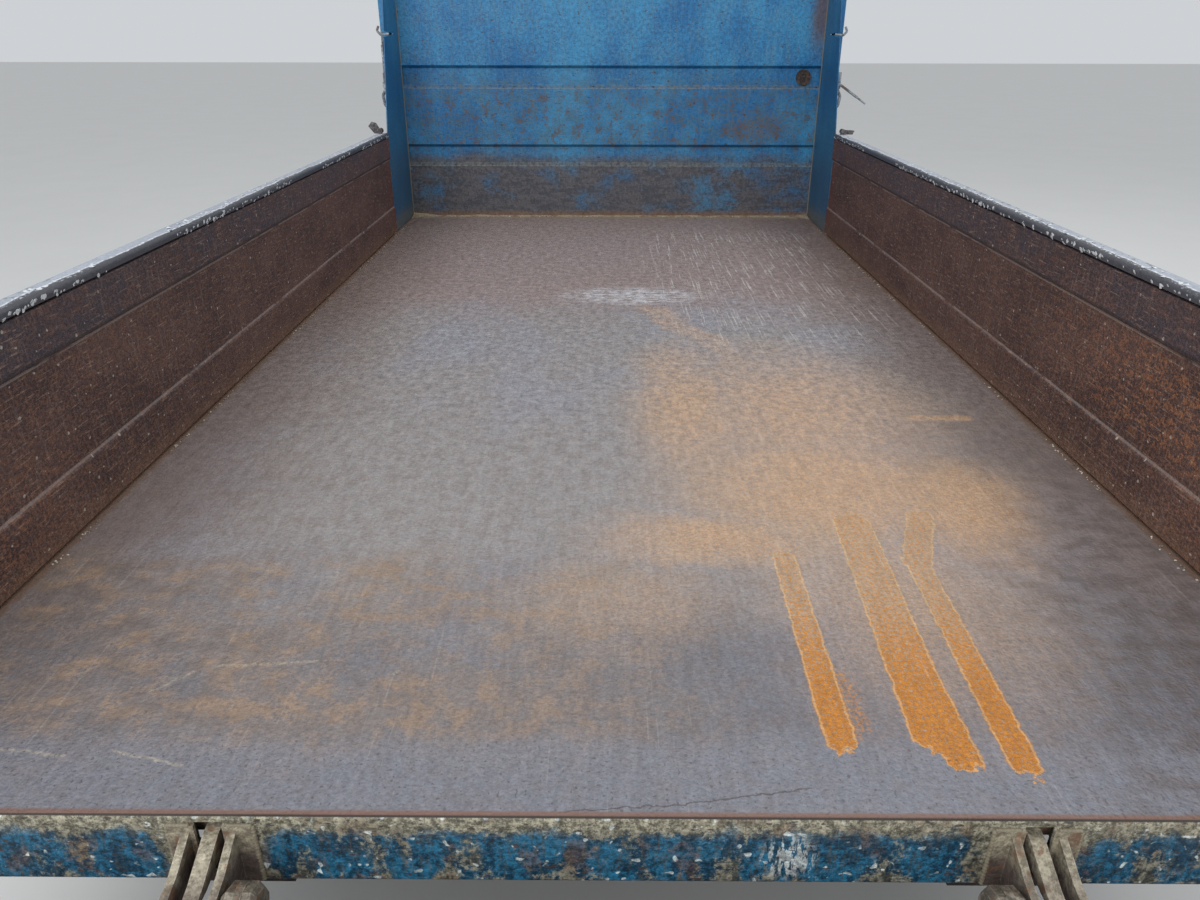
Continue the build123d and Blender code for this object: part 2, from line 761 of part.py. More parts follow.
def make_subframe():
    half = rail_outer - subframe_flange
    low, high = chassis_top + subframe_inset, rail_top - subframe_inset
    bar = along_x(channel(0, low, high, crossmember_flange, frame_wall), -half, half)
    places = [subframe_first, subframe_second]
    places += evenly(ram_y + subframe_after_ram, load_length - subframe_front, 3)
    beside_ram = []
    for side in (-1, 1):
        web = ram_y + side * cradle_half
        section = channel(web, low, high, side * crossmember_flange, frame_wall)
        beside_ram.append(along_x(section, -half, half))
    place("subframe_crossmembers", *[Pos(0, y, 0) * bar for y in places], *beside_ram)

    rear, front = ram_y - cradle_half, ram_y + cradle_half
    high, shoulder, foot = rail_top - cradle_edge, chassis_top + cradle_edge, trunnion_z - barrel_rise
    cheek = outline([(rear, high), (front, high), (front, shoulder), (ram_y + cradle_foot, foot),
                     (ram_y - cradle_foot, foot), (rear, shoulder)])
    cheek -= disc(ram_y, trunnion_z, trunnion_radius + pin_play)
    place("ram_cradle", *both(along_x(cheek, cradle_inner, cradle_outer)))

    pad = block((sill_outer - long_sill_flange, rail_outer), (-pad_half, pad_half),
                (rail_top, under_long_sills))
    pads = [Pos(0, y, 0) * pad for y in evenly(pad_first, load_length - pad_front, pad_count)]
    place("rest_pads", *[s for one in pads for s in both(one)])

    leg = folded([(rail_outer, chassis_top + bracket_height), (rail_outer, chassis_top),
                  (rail_outer + bracket_tab, chassis_top)], plate_wall, plate_wall)
    half_bracket = bracket_length / 2
    bracket = along_y(leg, -half_bracket, half_bracket)
    root, sole = rail_outer + plate_wall - overrun, chassis_top + plate_wall - overrun
    gusset = outline([(root, sole), (rail_outer + bracket_tab - bracket_edge, sole),
                      (root, chassis_top + bracket_height - bracket_edge)])
    bracket += along_y(gusset, half_bracket - plate_wall, half_bracket)
    bracket += along_y(gusset, -half_bracket, plate_wall - half_bracket)
    bolt_x = rail_outer + bolt_offset
    bracket -= rod_z(bolt_x, 0, bolt_hole_radius, chassis_top - overrun, sole + 2 * overrun)
    half_spacing = bolt_spacing_y / 2
    places = (bolt_centre_y - half_spacing, bolt_centre_y + half_spacing)
    place("chassis_brackets", *[s for y in places for s in both(Pos(0, y, 0) * bracket)])


def make_ram():
    beam_half = sill_outer - long_sill_flange
    beam_bottom = ball_z + ball_radius + cup_cover
    beam = block((-beam_half, beam_half), (ram_y - lift_beam_half, ram_y + lift_beam_half),
                 (beam_bottom, under_crossmembers))
    cup = rod_z(0, ram_y, cup_radius, ball_z + cup_rim, beam_bottom)
    cup -= Pos(0, ram_y, ball_z) * Sphere(ball_radius + cup_play)
    place("lift_beam", beam + cup)

    top = trunnion_z + barrel_rise
    bottom = top - ram_tube_length - barrel_sump
    outer_radius = ram_radii[0]
    chamber = rod_z(0, ram_y, ram_radii[1] + ram_play, bottom + barrel_floor, top + overrun)
    barrel = rod_z(0, ram_y, outer_radius, bottom, top)
    barrel += rod_z(0, ram_y, outer_radius + barrel_band, trunnion_z - barrel_band_half,
                    trunnion_z + barrel_band_half)
    trunnion_half = cradle_outer + trunnion_end
    barrel += rod_x(ram_y, trunnion_z, trunnion_radius, -trunnion_half, trunnion_half)
    port_z, port_face = bottom + port_rise, ram_y - outer_radius - port_length
    barrel += rod_y(0, port_z, port_radius, port_face, ram_y)
    barrel -= chamber
    barrel -= rod_y(0, port_z, port_bore, port_face - overrun, ram_y - ram_radii[1])
    place("ram_barrel", barrel)

    for i, radius in enumerate(ram_radii[1:4], start=1):
        high = top + ram_collar_step * i
        low = high - ram_tube_length
        stage = rod_z(0, ram_y, radius, low, high)
        stage += rod_z(0, ram_y, radius + ram_collar_reach, high - ram_collar_height, high)
        stage -= rod_z(0, ram_y, radius - ram_tube_wall, low - overrun, high + overrun)
        place(f"ram_stage_{i}", stage)

    high = top + ram_collar_step * 3 + ram_collar_height
    rod = rod_z(0, ram_y, ram_radii[4], high - ram_tube_length, high)
    rod += rod_z(0, ram_y, ball_neck, high - overrun, ball_z)
    rod += Pos(0, ram_y, ball_z) * Sphere(ball_radius)
    place("ram_rod", rod)


make_floor()
make_rear_frame()
make_front()
make_wing_latches()
make_side_gates()
make_tailgate()
make_lock()
make_tip_hinge()
make_subframe()
make_ram()
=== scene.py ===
import math
import random

import bmesh
import bpy
from mathutils import Matrix, Vector, noise


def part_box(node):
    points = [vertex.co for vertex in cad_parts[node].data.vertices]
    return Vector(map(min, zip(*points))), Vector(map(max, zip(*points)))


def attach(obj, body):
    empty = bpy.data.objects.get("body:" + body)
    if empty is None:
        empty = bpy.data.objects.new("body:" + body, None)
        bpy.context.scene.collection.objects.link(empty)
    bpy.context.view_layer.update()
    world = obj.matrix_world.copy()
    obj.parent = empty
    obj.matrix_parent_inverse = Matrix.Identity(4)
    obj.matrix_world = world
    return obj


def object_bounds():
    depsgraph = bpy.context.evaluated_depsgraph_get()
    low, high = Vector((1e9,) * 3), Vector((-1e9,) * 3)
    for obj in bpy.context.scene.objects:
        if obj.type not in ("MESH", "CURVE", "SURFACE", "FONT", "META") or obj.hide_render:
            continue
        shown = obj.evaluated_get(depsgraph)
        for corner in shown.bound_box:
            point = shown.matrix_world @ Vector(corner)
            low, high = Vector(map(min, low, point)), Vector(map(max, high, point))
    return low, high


# The looks of a worn drop-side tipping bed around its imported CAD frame. Lengths are metres in the
# row frame: x to the right, y towards the cab, z up, with the chassis bolts' centre as the origin.

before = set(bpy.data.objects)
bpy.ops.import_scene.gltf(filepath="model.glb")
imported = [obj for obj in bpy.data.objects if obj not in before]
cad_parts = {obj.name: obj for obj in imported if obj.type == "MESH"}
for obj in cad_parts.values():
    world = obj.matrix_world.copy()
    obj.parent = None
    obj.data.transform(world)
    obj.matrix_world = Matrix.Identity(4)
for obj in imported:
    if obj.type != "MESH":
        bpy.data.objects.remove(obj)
cad_box = [[float(v) for v in corner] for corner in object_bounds()]

# Places read from the frame
floor_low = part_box("floor_plate")[0]
wall_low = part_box("front_wall")[0]
sill_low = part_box("rear_sill")[0]
skin_low, skin_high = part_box("right_gate_skin")
rail_low, rail_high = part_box("right_gate_rail")
hinge_low, hinge_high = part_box("right_gate_hinges")
wing_low, wing_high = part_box("wing_panels")
hanging_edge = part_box("tailgate_skin")[1][2]
floor_top = wall_low[2]
rear_y = floor_low[1]
wall_y = wall_low[1]
wing_x = wing_high[0]
half_load = skin_low[0]

# Places inside the CAD nodes: heights above the floor, then distances from the bed's middle
crease_low, crease_high = 0.0928, 0.263
groove_lips = (0.2038, 0.4906)
lock_x = 0.4
lock_plate_edges = (0.358, 0.442)
lock_slot_edges = (0.3875, 0.415)

# Noise that moves coordinates comes in two sizes, and each size in two kinds
wide_wave, close_wave = 0.20, 0.016

# Camera that matches the photograph; its place counts from the middle of the floor's rear edge
image_width = 1200
focal_pixels = 880.1
sensor_width = 36
nearest_drawn = 0.02
camera_pitch = 0.4421
camera_yaw = -0.0057
camera_roll = 0.0015
camera_from_sill = Vector((-0.0193, -0.6120, 0.6764))

# Studio: each lamp's name, place, width and power
sky_colour, sky_strength = (0.93, 0.96, 1.0, 1.0), 0.66
studio_half, studio_gap = 40, 0.002
lamps = (("key", (-1.6, -4.6, 3.6), 4.0, 190), ("fill", (2.6, 1.5, 4.5), 4.0, 60))


def srgb(red, green, blue):
    """A colour written in 0 to 255 screen values, as the linear colour that a shader takes."""
    def linear(value):
        value /= 255
        return value / 12.92 if value <= 0.04045 else ((value + 0.055) / 1.055) ** 2.4
    return linear(red), linear(green), linear(blue), 1.0


class Coat:
    """A node material built from masks and colours in the object's own coordinates.

    A sheet that lies in one plane names it, and its noise is then drawn in that plane only.
    A mask is a value from 0 to 1 over the surface, and sizes of noise are in metres.
    """

    def __init__(self, name, plane=None, speckle=0.009):
        self.material = bpy.data.materials.new(name)
        self.material.use_nodes = True
        self.nodes = self.material.node_tree.nodes
        self.links = self.material.node_tree.links
        self.shader = self.nodes["Principled BSDF"]
        self.place = self.nodes.new("ShaderNodeTexCoord").outputs["Object"]
        split = self.nodes.new("ShaderNodeSeparateXYZ")
        self.links.new(self.place, split.inputs[0])
        self.x, self.y, self.z = split.outputs
        self.axes = ["xyz".index(axis) for axis in plane or "xyz"]
        if plane:
            flat = self.nodes.new("ShaderNodeCombineXYZ")
            for axis, socket in zip(self.axes, flat.inputs):
                self.links.new(split.outputs[axis], socket)
            self.place = flat.outputs[0]
        self.dimensions = "2D" if plane else "3D"
        self.speckle = speckle
        self.made = {}

    def put(self, value, socket):
        if isinstance(value, bpy.types.NodeSocket):
            self.links.new(value, socket)
        else:
            socket.default_value = value

    def math(self, operation, *values):
        node = self.nodes.new("ShaderNodeMath")
        node.operation = operation
        for value, socket in zip(values, node.inputs):
            self.put(value, socket)
        return node.outputs[0]

    def vector(self, operation, *values):
        node = self.nodes.new("ShaderNodeVectorMath")
        node.operation = operation
        for value, socket in zip(values, node.inputs):
            self.put(value, socket)
        return node.outputs["Value" if operation in ("LENGTH", "DISTANCE", "DOT_PRODUCT") else "Vector"]

    def fold(self, operation, values):
        """Values joined one after another by a math operation."""
        result = values[0]
        for value in values[1:]:
            result = self.math(operation, result, value)
        return result

    def add(self, *values):
        return self.fold("ADD", values)

    def times(self, *values):
        return self.fold("MULTIPLY", values)

    def most(self, *values):
        return self.fold("MAXIMUM", values)

    def nearest(self, distances):
        return self.fold("MINIMUM", distances)

    def swing(self, value):
        """A noise value from half below nothing to half above it."""
        if value not in self.made:
            self.made[value] = self.math("SUBTRACT", value, 0.5)
        return self.made[value]

    def fade(self, value, low, high, top=1.0, bottom=0.0):
        """Bottom below low and top above high, with a smooth step between; low may be above high."""
        node = self.nodes.new("ShaderNodeMapRange")
        node.interpolation_type = "SMOOTHSTEP"
        self.put(value, node.inputs["Value"])
        node.inputs["From Min"].default_value = min(low, high)
        node.inputs["From Max"].default_value = max(low, high)
        node.inputs["To Min"].default_value = bottom if low <= high else top
        node.inputs["To Max"].default_value = top if low <= high else bottom
        return node.outputs[0]

    def band(self, value, low, high, soft, top=1.0):
        """Top between low and high, fading over soft outside them."""
        return self.times(self.fade(value, low - soft, low), self.fade(value, high + soft, high, top))

    def noise(self, size, stretch=(1, 1, 1), seed=0, detail=4, rough=0.65):
        """Noise with features of about this size, drawn out along each axis by stretch."""
        key = (size, stretch, seed, detail, rough)
        if key not in self.made:
            scale = [1 / (size * stretch[axis]) for axis in self.axes] + [1.0]
            start = (seed * 3.1, seed * 1.7, seed * 2.3)
            node = self.nodes.new("ShaderNodeTexNoise")
            node.noise_dimensions = self.dimensions
            node.inputs["Scale"].default_value = 1.0
            node.inputs["Detail"].default_value = detail
            node.inputs["Roughness"].default_value = rough
            self.links.new(self.vector("MULTIPLY_ADD", self.place, scale[:3], start), node.inputs["Vector"])
            self.made[key] = node.outputs["Fac"]
        return self.made[key]

    def grain(self):
        """Fine speckle that the masks of one material share."""
        if "grain" not in self.made:
            self.made["grain"] = self.noise(self.speckle, (1, 1, 1), 50, 6, 0.85)
        return self.made["grain"]

    def relief(self):
        """The roughness of the surface, as a height."""
        return self.noise(self.speckle * 0.6, (1, 1, 1), 51, 1, 0.8)

    def broken(self, size, stretch=(1, 1, 1), seed=0, share=0.6):
        """Patches of about this size whose edges are broken up by the fine speckle."""
        return self.math("MULTIPLY_ADD", self.swing(self.grain()), share, self.noise(size, stretch, seed, 2))

    def specks(self, size, seed, share):
        """Small separate spots, more of them with a larger share."""
        return self.fade(self.noise(size, (1, 1, 1), seed, 0), 0.80 - share, 0.84 - share)

    def ragged(self, value, amount, size, seed=0):
        """A coordinate moved by noise, so that what is drawn from it has a ragged edge."""
        return self.math("MULTIPLY_ADD", self.swing(self.noise(size, seed=70 + seed)), 2 * amount, value)

    def edge(self, radius):
        """1 on the object's edges, from how far a rounded normal turns from the flat one."""
        bevel = self.nodes.new("ShaderNodeBevel")
        bevel.samples = 2
        bevel.inputs["Radius"].default_value = radius
        flat = self.nodes.new("ShaderNodeNewGeometry").outputs["Normal"]
        return self.fade(self.vector("DOT_PRODUCT", bevel.outputs[0], flat), 0.99, 0.85)

    def plane(self, u, v):
        """Two coordinates as one place in a plane."""
        node = self.nodes.new("ShaderNodeCombineXYZ")
        self.put(u, node.inputs["X"])
        self.put(v, node.inputs["Y"])
        return node.outputs[0]

    def spot(self, place, centre, reach, lift=0.0):
        """Distance from an oval's centre, 1 at its reach; lift keeps it from falling to 0 in the middle."""
        scale = (1 / reach[0], 1 / reach[1], 0)
        start = (-centre[0] * scale[0], -centre[1] * scale[1], lift)
        return self.vector("LENGTH", self.vector("MULTIPLY_ADD", place, scale, start))

    def line(self, place, start, end):
        """Distance from the straight line between two places."""
        start, run = Vector((*start, 0)), Vector((end[0] - start[0], end[1] - start[1], 0))
        along = run / run.length_squared
        share = self.math("SUBTRACT", self.vector("DOT_PRODUCT", place, along), start.dot(along))
        share.node.use_clamp = True
        return self.vector("DISTANCE", place, self.vector("MULTIPLY_ADD", share, run, start))

    def mix(self, amount, a, b):
        node = self.nodes.new("ShaderNodeMix")
        node.data_type = "RGBA"
        self.put(amount, node.inputs["Factor"])
        self.put(a, node.inputs["A"])
        self.put(b, node.inputs["B"])
        return node.outputs["Result"]

    def lay(self, tint, colour, *masks):
        """A tint laid over a colour where all the masks are."""
        return self.mix(self.times(*masks), colour, tint)

    def shade(self, colour, value, low, high, darkest, lightest):
        """A colour darkened and lightened where value runs from low to high."""
        node = self.nodes.new("ShaderNodeVectorMath")
        node.operation = "SCALE"
        self.put(colour, node.inputs[0])
        self.put(self.fade(value, low, high, lightest, darkest), node.inputs["Scale"])
        return node.outputs[0]

    def finish(self, colour, roughness, height=None, depth=0.001, metallic=0.0):
        self.put(colour, self.shader.inputs["Base Color"])
        self.put(roughness, self.shader.inputs["Roughness"])
        self.put(metallic, self.shader.inputs["Metallic"])
        if height is not None:
            bump = self.nodes.new("ShaderNodeBump")
            bump.inputs["Distance"].default_value = depth
            self.links.new(height, bump.inputs["Height"])
            self.links.new(bump.outputs[0], self.shader.inputs["Normal"])
        return self.material


# On the floor, x counts from the bed's middle and y from its rear edge

def rust_bloom(coat, colour, speck, x, y):
    """Thin tan rust: ovals that run together, two wiped streaks and two short bars."""
    tan, deep_tan = srgb(198, 164, 130), srgb(192, 138, 84)
    near = coat.plane(coat.ragged(x, 0.06, wide_wave, 1), coat.ragged(y, 0.08, wide_wave, 0))
    # Centre, reach and lift of each oval
    ovals = [
        ((0.36, 0.68), (0.27, 0.22), 0.0), ((0.15, 0.51), (0.19, 0.075), 0.4),
        ((0.15, 1.02), (0.12, 0.40), 0.5), ((0.54, 0.63), (0.11, 0.20), 0.0),
        ((0.36, 0.98), (0.28, 0.42), 0.5), ((0.37, 0.40), (0.22, 0.32), 0.75),
        ((0.03, 0.36), (0.18, 0.15), 0.95),
    ]
    bloom = coat.fade(coat.nearest([coat.spot(near, *oval) for oval in ovals]), 1.45, 0.20, 0.9)
    bend = (0.44, 0.98)
    wiped = [coat.line(near, (0.10, 1.70), bend), coat.line(near, bend, (0.54, 0.74))]
    bloom = coat.most(bloom, coat.fade(coat.nearest(wiped), 0.065, 0.022, 0.4))
    thin = coat.plane(x, coat.ragged(y, 0.008, close_wave, 1))
    bars = [coat.line(thin, (0.285, 0.976), (0.353, 0.976)), coat.line(thin, (0.576, 0.969), (0.683, 0.969))]
    bloom = coat.most(bloom, coat.fade(coat.nearest(bars), 0.022, 0.006, 0.7))
    colour = coat.lay(tan, colour, bloom, coat.fade(coat.grain(), 0.38, 0.60, 1.0, 0.5))
    return coat.lay(deep_tan, colour, bloom, coat.fade(speck, 0.48, 0.62, 0.7))


def rust_runs(coat, colour, speck, x, y):
    """Three thick runs to the rear: solid at their lower ends, speckled higher up, with pale rims."""
    edge_y = coat.ragged(y, 0.022, close_wave, 1)
    edge = coat.plane(coat.ragged(x, 0.004, close_wave, 0), edge_y)
    # Start, end and width of each stretch
    stretches = [
        ((0.232, 0.10), (0.238, 0.46), 0.032), ((0.337, 0.110), (0.360, 0.56), 0.056),
        ((0.413, 0.068), (0.424, 0.45), 0.032), ((0.352, 0.078), (0.352, 0.30), 0.038),
        ((0.424, 0.45), (0.470, 0.58), 0.040),
    ]
    outside = coat.nearest([coat.math("SUBTRACT", coat.line(edge, start, end), width / 2)
                            for start, end, width in stretches])
    inside = coat.fade(outside, 0.003, 0.0, 0.95)
    upward = coat.fade(edge_y, 0.12, 0.42, 0.17)
    solid = coat.fade(coat.math("SUBTRACT", speck, upward), 0.36, 0.44)
    colour = coat.lay(srgb(184, 156, 126), colour, coat.fade(outside, 0.002, 0.0, 0.7))
    orange = coat.mix(coat.fade(speck, 0.40, 0.60), srgb(174, 104, 24), srgb(200, 130, 38))
    colour = coat.lay(orange, colour, inside, solid)
    spill = coat.fade(coat.line(edge, (0.254, 0.12), (0.254, 0.20)), 0.022, 0.008)
    colour = coat.lay(srgb(192, 128, 56), colour, spill, coat.fade(speck, 0.50, 0.56, 0.8))
    rim = coat.band(outside, -0.0010, 0.0002, 0.0012, 0.4)
    return coat.lay(srgb(218, 190, 148), colour, rim), inside


def floor_scratches(coat, colour, x, y):
    """Drag lines near the wall, a scraped place, and single marks left by the load."""
    pale, bare, dry, dark = srgb(192, 186, 180), srgb(196, 194, 196), srgb(184, 172, 152), srgb(78, 68, 68)
    lines = coat.noise(0.0055, (1, 45, 1), 24, 2)
    by_wall = coat.times(coat.band(coat.ragged(x, 0.06, wide_wave, 1), 0.20, 0.66, 0.12),
                         coat.band(y, 1.6, 2.6, 0.3, 0.8))
    colour = coat.lay(pale, colour, coat.fade(lines, 0.60, 0.68), by_wall)
    colour = coat.lay(pale, colour, coat.fade(lines, 0.69, 0.76, 0.15))
    wisps = coat.noise(0.014, (3.2, 1.0, 1), 27, 5, 0.8)
    bent_wide = coat.plane(coat.ragged(x, 0.04, wide_wave, 0), coat.ragged(y, 0.03, wide_wave, 1))
    scraped = coat.fade(coat.spot(bent_wide, (0.06, 1.85), (0.22, 0.10)), 1.2, 0.4)
    colour = coat.lay(bare, colour, coat.fade(wisps, 0.42, 0.56, 0.95), scraped)

    bent = coat.plane(coat.ragged(x, 0.005, close_wave, 0), coat.ragged(y, 0.005, close_wave, 1))
    marks = [
        ((-0.66, 0.082), (-0.577, 0.073)), ((-0.53, 0.080), (-0.45, 0.060)),
        ((-0.534, 0.170), (-0.500, 0.205)), ((-0.48, 0.215), (-0.36, 0.226)),
        ((-0.264, 0.204), (-0.262, 0.208)),
    ]
    scuffs = coat.fade(coat.nearest([coat.line(bent, *mark) for mark in marks]), 0.0035, 0.0, 0.5)
    colour = coat.lay(dry, colour, scuffs, coat.fade(coat.grain(), 0.36, 0.56))
    bend = (0.060, 0.014)
    grooves = [coat.line(bent, (-0.061, 0.004), bend), coat.line(bent, bend, (0.186, 0.035))]
    return coat.lay(dark, colour, coat.fade(coat.nearest(grooves), 0.0014, 0.0005, 0.7))


def floor_grain(coat, y):
    """The floor's own speckle: fine and even near the rear edge, coarser towards the wall."""
    scoured, pitted = coat.noise(0.007, (1, 1, 1), 50, 5, 0.85), coat.noise(0.020, (1, 1, 1), 52, 6, 0.95)
    inward = coat.fade(y, 0.2, 1.5)
    scoured = coat.math("MULTIPLY_ADD", coat.swing(scoured), 0.5, 0.5)
    pitted = coat.math("MULTIPLY_ADD", coat.swing(pitted), 1.2, 0.5)
    return coat.math("MULTIPLY_ADD", coat.math("SUBTRACT", pitted, scoured), inward, scoured)


def floor_patches(coat, colour, wide_x, y):
    """Tan and dark patches by the rear corners, and a paler bluish strip along the rear edge."""
    fawn, tan, bluish = srgb(150, 132, 116), srgb(164, 134, 106), srgb(136, 138, 148)
    dark_left, dark_right = srgb(104, 96, 94), srgb(104, 95, 92)
    corner = coat.times(coat.fade(wide_x, 0.30, -0.25),
                        coat.band(coat.ragged(y, 0.07, wide_wave, 1), 0.14, 0.40, 0.10),
                        coat.fade(coat.broken(0.17, (1.2, 1, 1), 8, 0.5), 0.36, 0.58, 1.0, 0.25))
    colour = coat.lay(fawn, colour, corner, 0.4)
    dry = coat.fade(coat.broken(0.035, (1.3, 1, 1), 6, 1.2), 0.44, 0.66)
    colour = coat.lay(tan, colour, corner, dry, 0.5)
    damp = coat.fade(coat.broken(0.035, (1.5, 1, 1), 7, 1.2), 0.46, 0.60)
    far_left = coat.add(coat.fade(coat.x, -0.30, -0.62, 0.4), 0.12)
    colour = coat.lay(dark_left, colour, corner, damp, far_left)
    strip = coat.band(coat.ragged(y, 0.02, wide_wave, 0), 0.0, 0.075, 0.05)
    colour = coat.lay(bluish, colour, strip, 0.4)
    right = coat.times(coat.fade(coat.x, 0.42, 0.60), coat.fade(y, 1.3, 0.3))
    return coat.lay(dark_right, colour, damp, right, 0.6), strip


def floor_steel():
    """Bare plate: grey and brown speckle, rust where water stood, scratches and settled dirt."""
    coat = Coat("floor_steel", "xy")
    y = coat.math("SUBTRACT", coat.y, rear_y)
    wide_x, wide_y = coat.ragged(coat.x, 0.10, wide_wave, 1), coat.ragged(y, 0.16, wide_wave, 0)
    side = coat.math("ABSOLUTE", wide_x)
    coat.made["grain"] = floor_grain(coat, y)
    tone = coat.fade(coat.broken(0.5, (1, 1.5, 1), 5, 0.25), 0.40, 0.60)
    colour = coat.mix(tone, srgb(151, 150, 156), srgb(152, 147, 146))
    colour = coat.lay(srgb(156, 136, 130), colour, coat.fade(wide_y, 1.50, 1.95, 0.85))
    colour = coat.lay(srgb(128, 110, 102), colour, coat.fade(side, 0.42, 0.80, 0.75))
    colour = coat.lay(srgb(106, 107, 115), colour, coat.fade(wide_y, 0.55, 0.15, 0.85))
    stained = coat.fade(coat.noise(0.03, (1, 1, 1), 10, 6, 0.85), 0.42, 0.62, 0.32)
    colour = coat.lay(srgb(118, 98, 86), colour, stained)
    colour, strip = floor_patches(coat, colour, wide_x, y)

    speck = coat.noise(0.0045, seed=60, detail=3, rough=0.9)
    colour = rust_bloom(coat, colour, speck, coat.x, y)
    colour, runs = rust_runs(coat, colour, speck, coat.x, y)
    colour = floor_scratches(coat, colour, coat.x, y)
    colour = coat.shade(colour, coat.grain(), 0.28, 0.72, 0.60, 1.34)
    brushed = coat.noise(0.012, (1, 7, 1), 9, 4)
    colour = coat.shade(colour, brushed, 0.35, 0.65, 0.94, 1.06)

    # Small dark pits, settled dirt by the wall and the gates, the rusty rear lip, and the underside
    pits = coat.specks(0.0045, 28, 0.03)
    colour = coat.lay(srgb(70, 62, 64), colour, pits, coat.add(coat.times(strip, 0.4), 0.08))
    by_wall = coat.fade(coat.ragged(coat.y, 0.03, close_wave, 0), wall_y - 0.07, wall_y - 0.015)
    colour = coat.lay(srgb(150, 138, 120), colour, by_wall, 0.8)
    from_middle = coat.math("ABSOLUTE", coat.ragged(coat.x, 0.008, close_wave, 1))
    by_gate = coat.fade(from_middle, half_load - 0.014, half_load - 0.001)
    colour = coat.lay(srgb(118, 88, 66), colour, by_gate, 0.7)
    lip = coat.fade(coat.ragged(y, 0.001, close_wave, 0), 0.006, 0.002)
    colour = coat.lay(srgb(128, 94, 78), colour, lip, 0.8)
    under = coat.fade(coat.z, floor_top - 0.0012, floor_top - 0.002)
    colour = coat.lay(srgb(70, 62, 58), colour, under)
    roughness = coat.add(coat.times(coat.grain(), 0.25), coat.times(runs, 0.2), 0.40)
    return coat.finish(colour, roughness, coat.relief(), 0.0012, 0.1)


def skin_orange(coat, colour, height):
    """Orange rust: thin everywhere, and a diffuse patch in the right gate's middle by its rear end."""
    wide = coat.ragged(coat.y, 0.10, wide_wave, 1)
    patch = coat.times(coat.fade(wide, rear_y + 1.25, rear_y + 0.35), coat.fade(coat.x, -0.2, 0.2),
                       coat.band(coat.ragged(height, 0.03, wide_wave, 0), 0.13, 0.235, 0.04))
    low_patch = coat.times(coat.fade(wide, rear_y + 0.9, rear_y + 0.3),
                           coat.fade(height, crease_high, 0.1, 0.35))
    orange = coat.fade(coat.broken(0.012, (1, 2.2, 1), 7, 1.5), 0.46, 0.66)
    amount = coat.most(coat.times(patch, 0.65), low_patch, 0.16)
    return coat.lay(srgb(150, 98, 62), colour, orange, amount)


def skin_creases(coat, colour, height):
    """Painted highlights along the two creases, broken up by noise, and a painted shadow over the upper one.
    """
    highlight_breaks = coat.fade(coat.noise(0.03, (1, 4, 1), 12, 3, 0.7), 0.34, 0.50)
    shadow = coat.band(height, crease_high + 0.0025, crease_high + 0.006, 0.002)
    colour = coat.lay(srgb(34, 28, 30), colour, shadow, 0.6)
    # Painted highlights: thin light lines along both creases, broken up by noise
    for line, half, strength in ((crease_high - 0.002, 0.0016, 0.55), (crease_low + 0.002, 0.0012, 0.35)):
        worn = coat.band(height, line - half, line + half, 0.0015)
        colour = coat.lay(srgb(164, 150, 142), colour, worn, highlight_breaks, strength)
    return colour


def rusted_skin(name, plane, foot, upward):
    """Gate sheet whose old paint has gone to dark red-brown rust, with painted highlights and a painted
    shadow along its creases.

    Heights count from its hinged edge at foot, upward for a gate that stands and down for one that hangs.
    """
    coat = Coat(name, plane, 0.006)
    height = coat.times(coat.math("SUBTRACT", coat.z, foot), upward)
    tone = coat.fade(coat.broken(0.12, (1, 2.5, 1), 1, 0.7), 0.34, 0.66)
    colour = coat.mix(tone, srgb(70, 50, 47), srgb(90, 66, 60))
    upper = coat.fade(coat.ragged(height, 0.006, wide_wave, 0), crease_high - 0.004, crease_high + 0.004)
    cold = coat.fade(coat.broken(0.10, (1, 2, 1), 3, 0.8), 0.36, 0.60)
    colour = coat.lay(srgb(62, 57, 66), colour, upper, coat.add(coat.times(cold, 0.5), 0.35))
    drips = coat.fade(coat.noise(0.009, (1, 1, 9), 4, 2, 0.7), 0.56, 0.68)
    colour = coat.lay(srgb(120, 104, 98), colour, drips, 0.3)

    colour = skin_orange(coat, colour, height)
    red = coat.fade(coat.ragged(coat.y, 0.02, wide_wave, 0), skin_high[1] - 0.09, skin_high[1] - 0.02)
    colour = coat.lay(srgb(104, 58, 46), colour, red, 0.6)
    low = coat.fade(coat.ragged(height, 0.012, wide_wave, 1), 0.045, 0.008)
    colour = coat.lay(srgb(122, 92, 72), colour, low, 0.5)
    scratch = coat.fade(coat.noise(0.0035, (1, 14, 1), 10, 2, 0.65), 0.635, 0.69)
    colour = coat.lay(srgb(156, 128, 112), colour, scratch, 0.45)
    colour = coat.shade(colour, coat.grain(), 0.28, 0.72, 0.48, 1.52)
    colour = coat.lay(srgb(186, 178, 168), colour, coat.specks(0.009, 11, -0.05), 0.7)

    colour = skin_creases(coat, colour, height)
    rim = coat.fade(height, 0.0085, 0.0055)
    colour = coat.lay(srgb(150, 108, 74), colour, rim, 0.7)
    return coat.finish(colour, coat.add(coat.times(coat.grain(), 0.25), 0.50), coat.relief(), 0.0014)


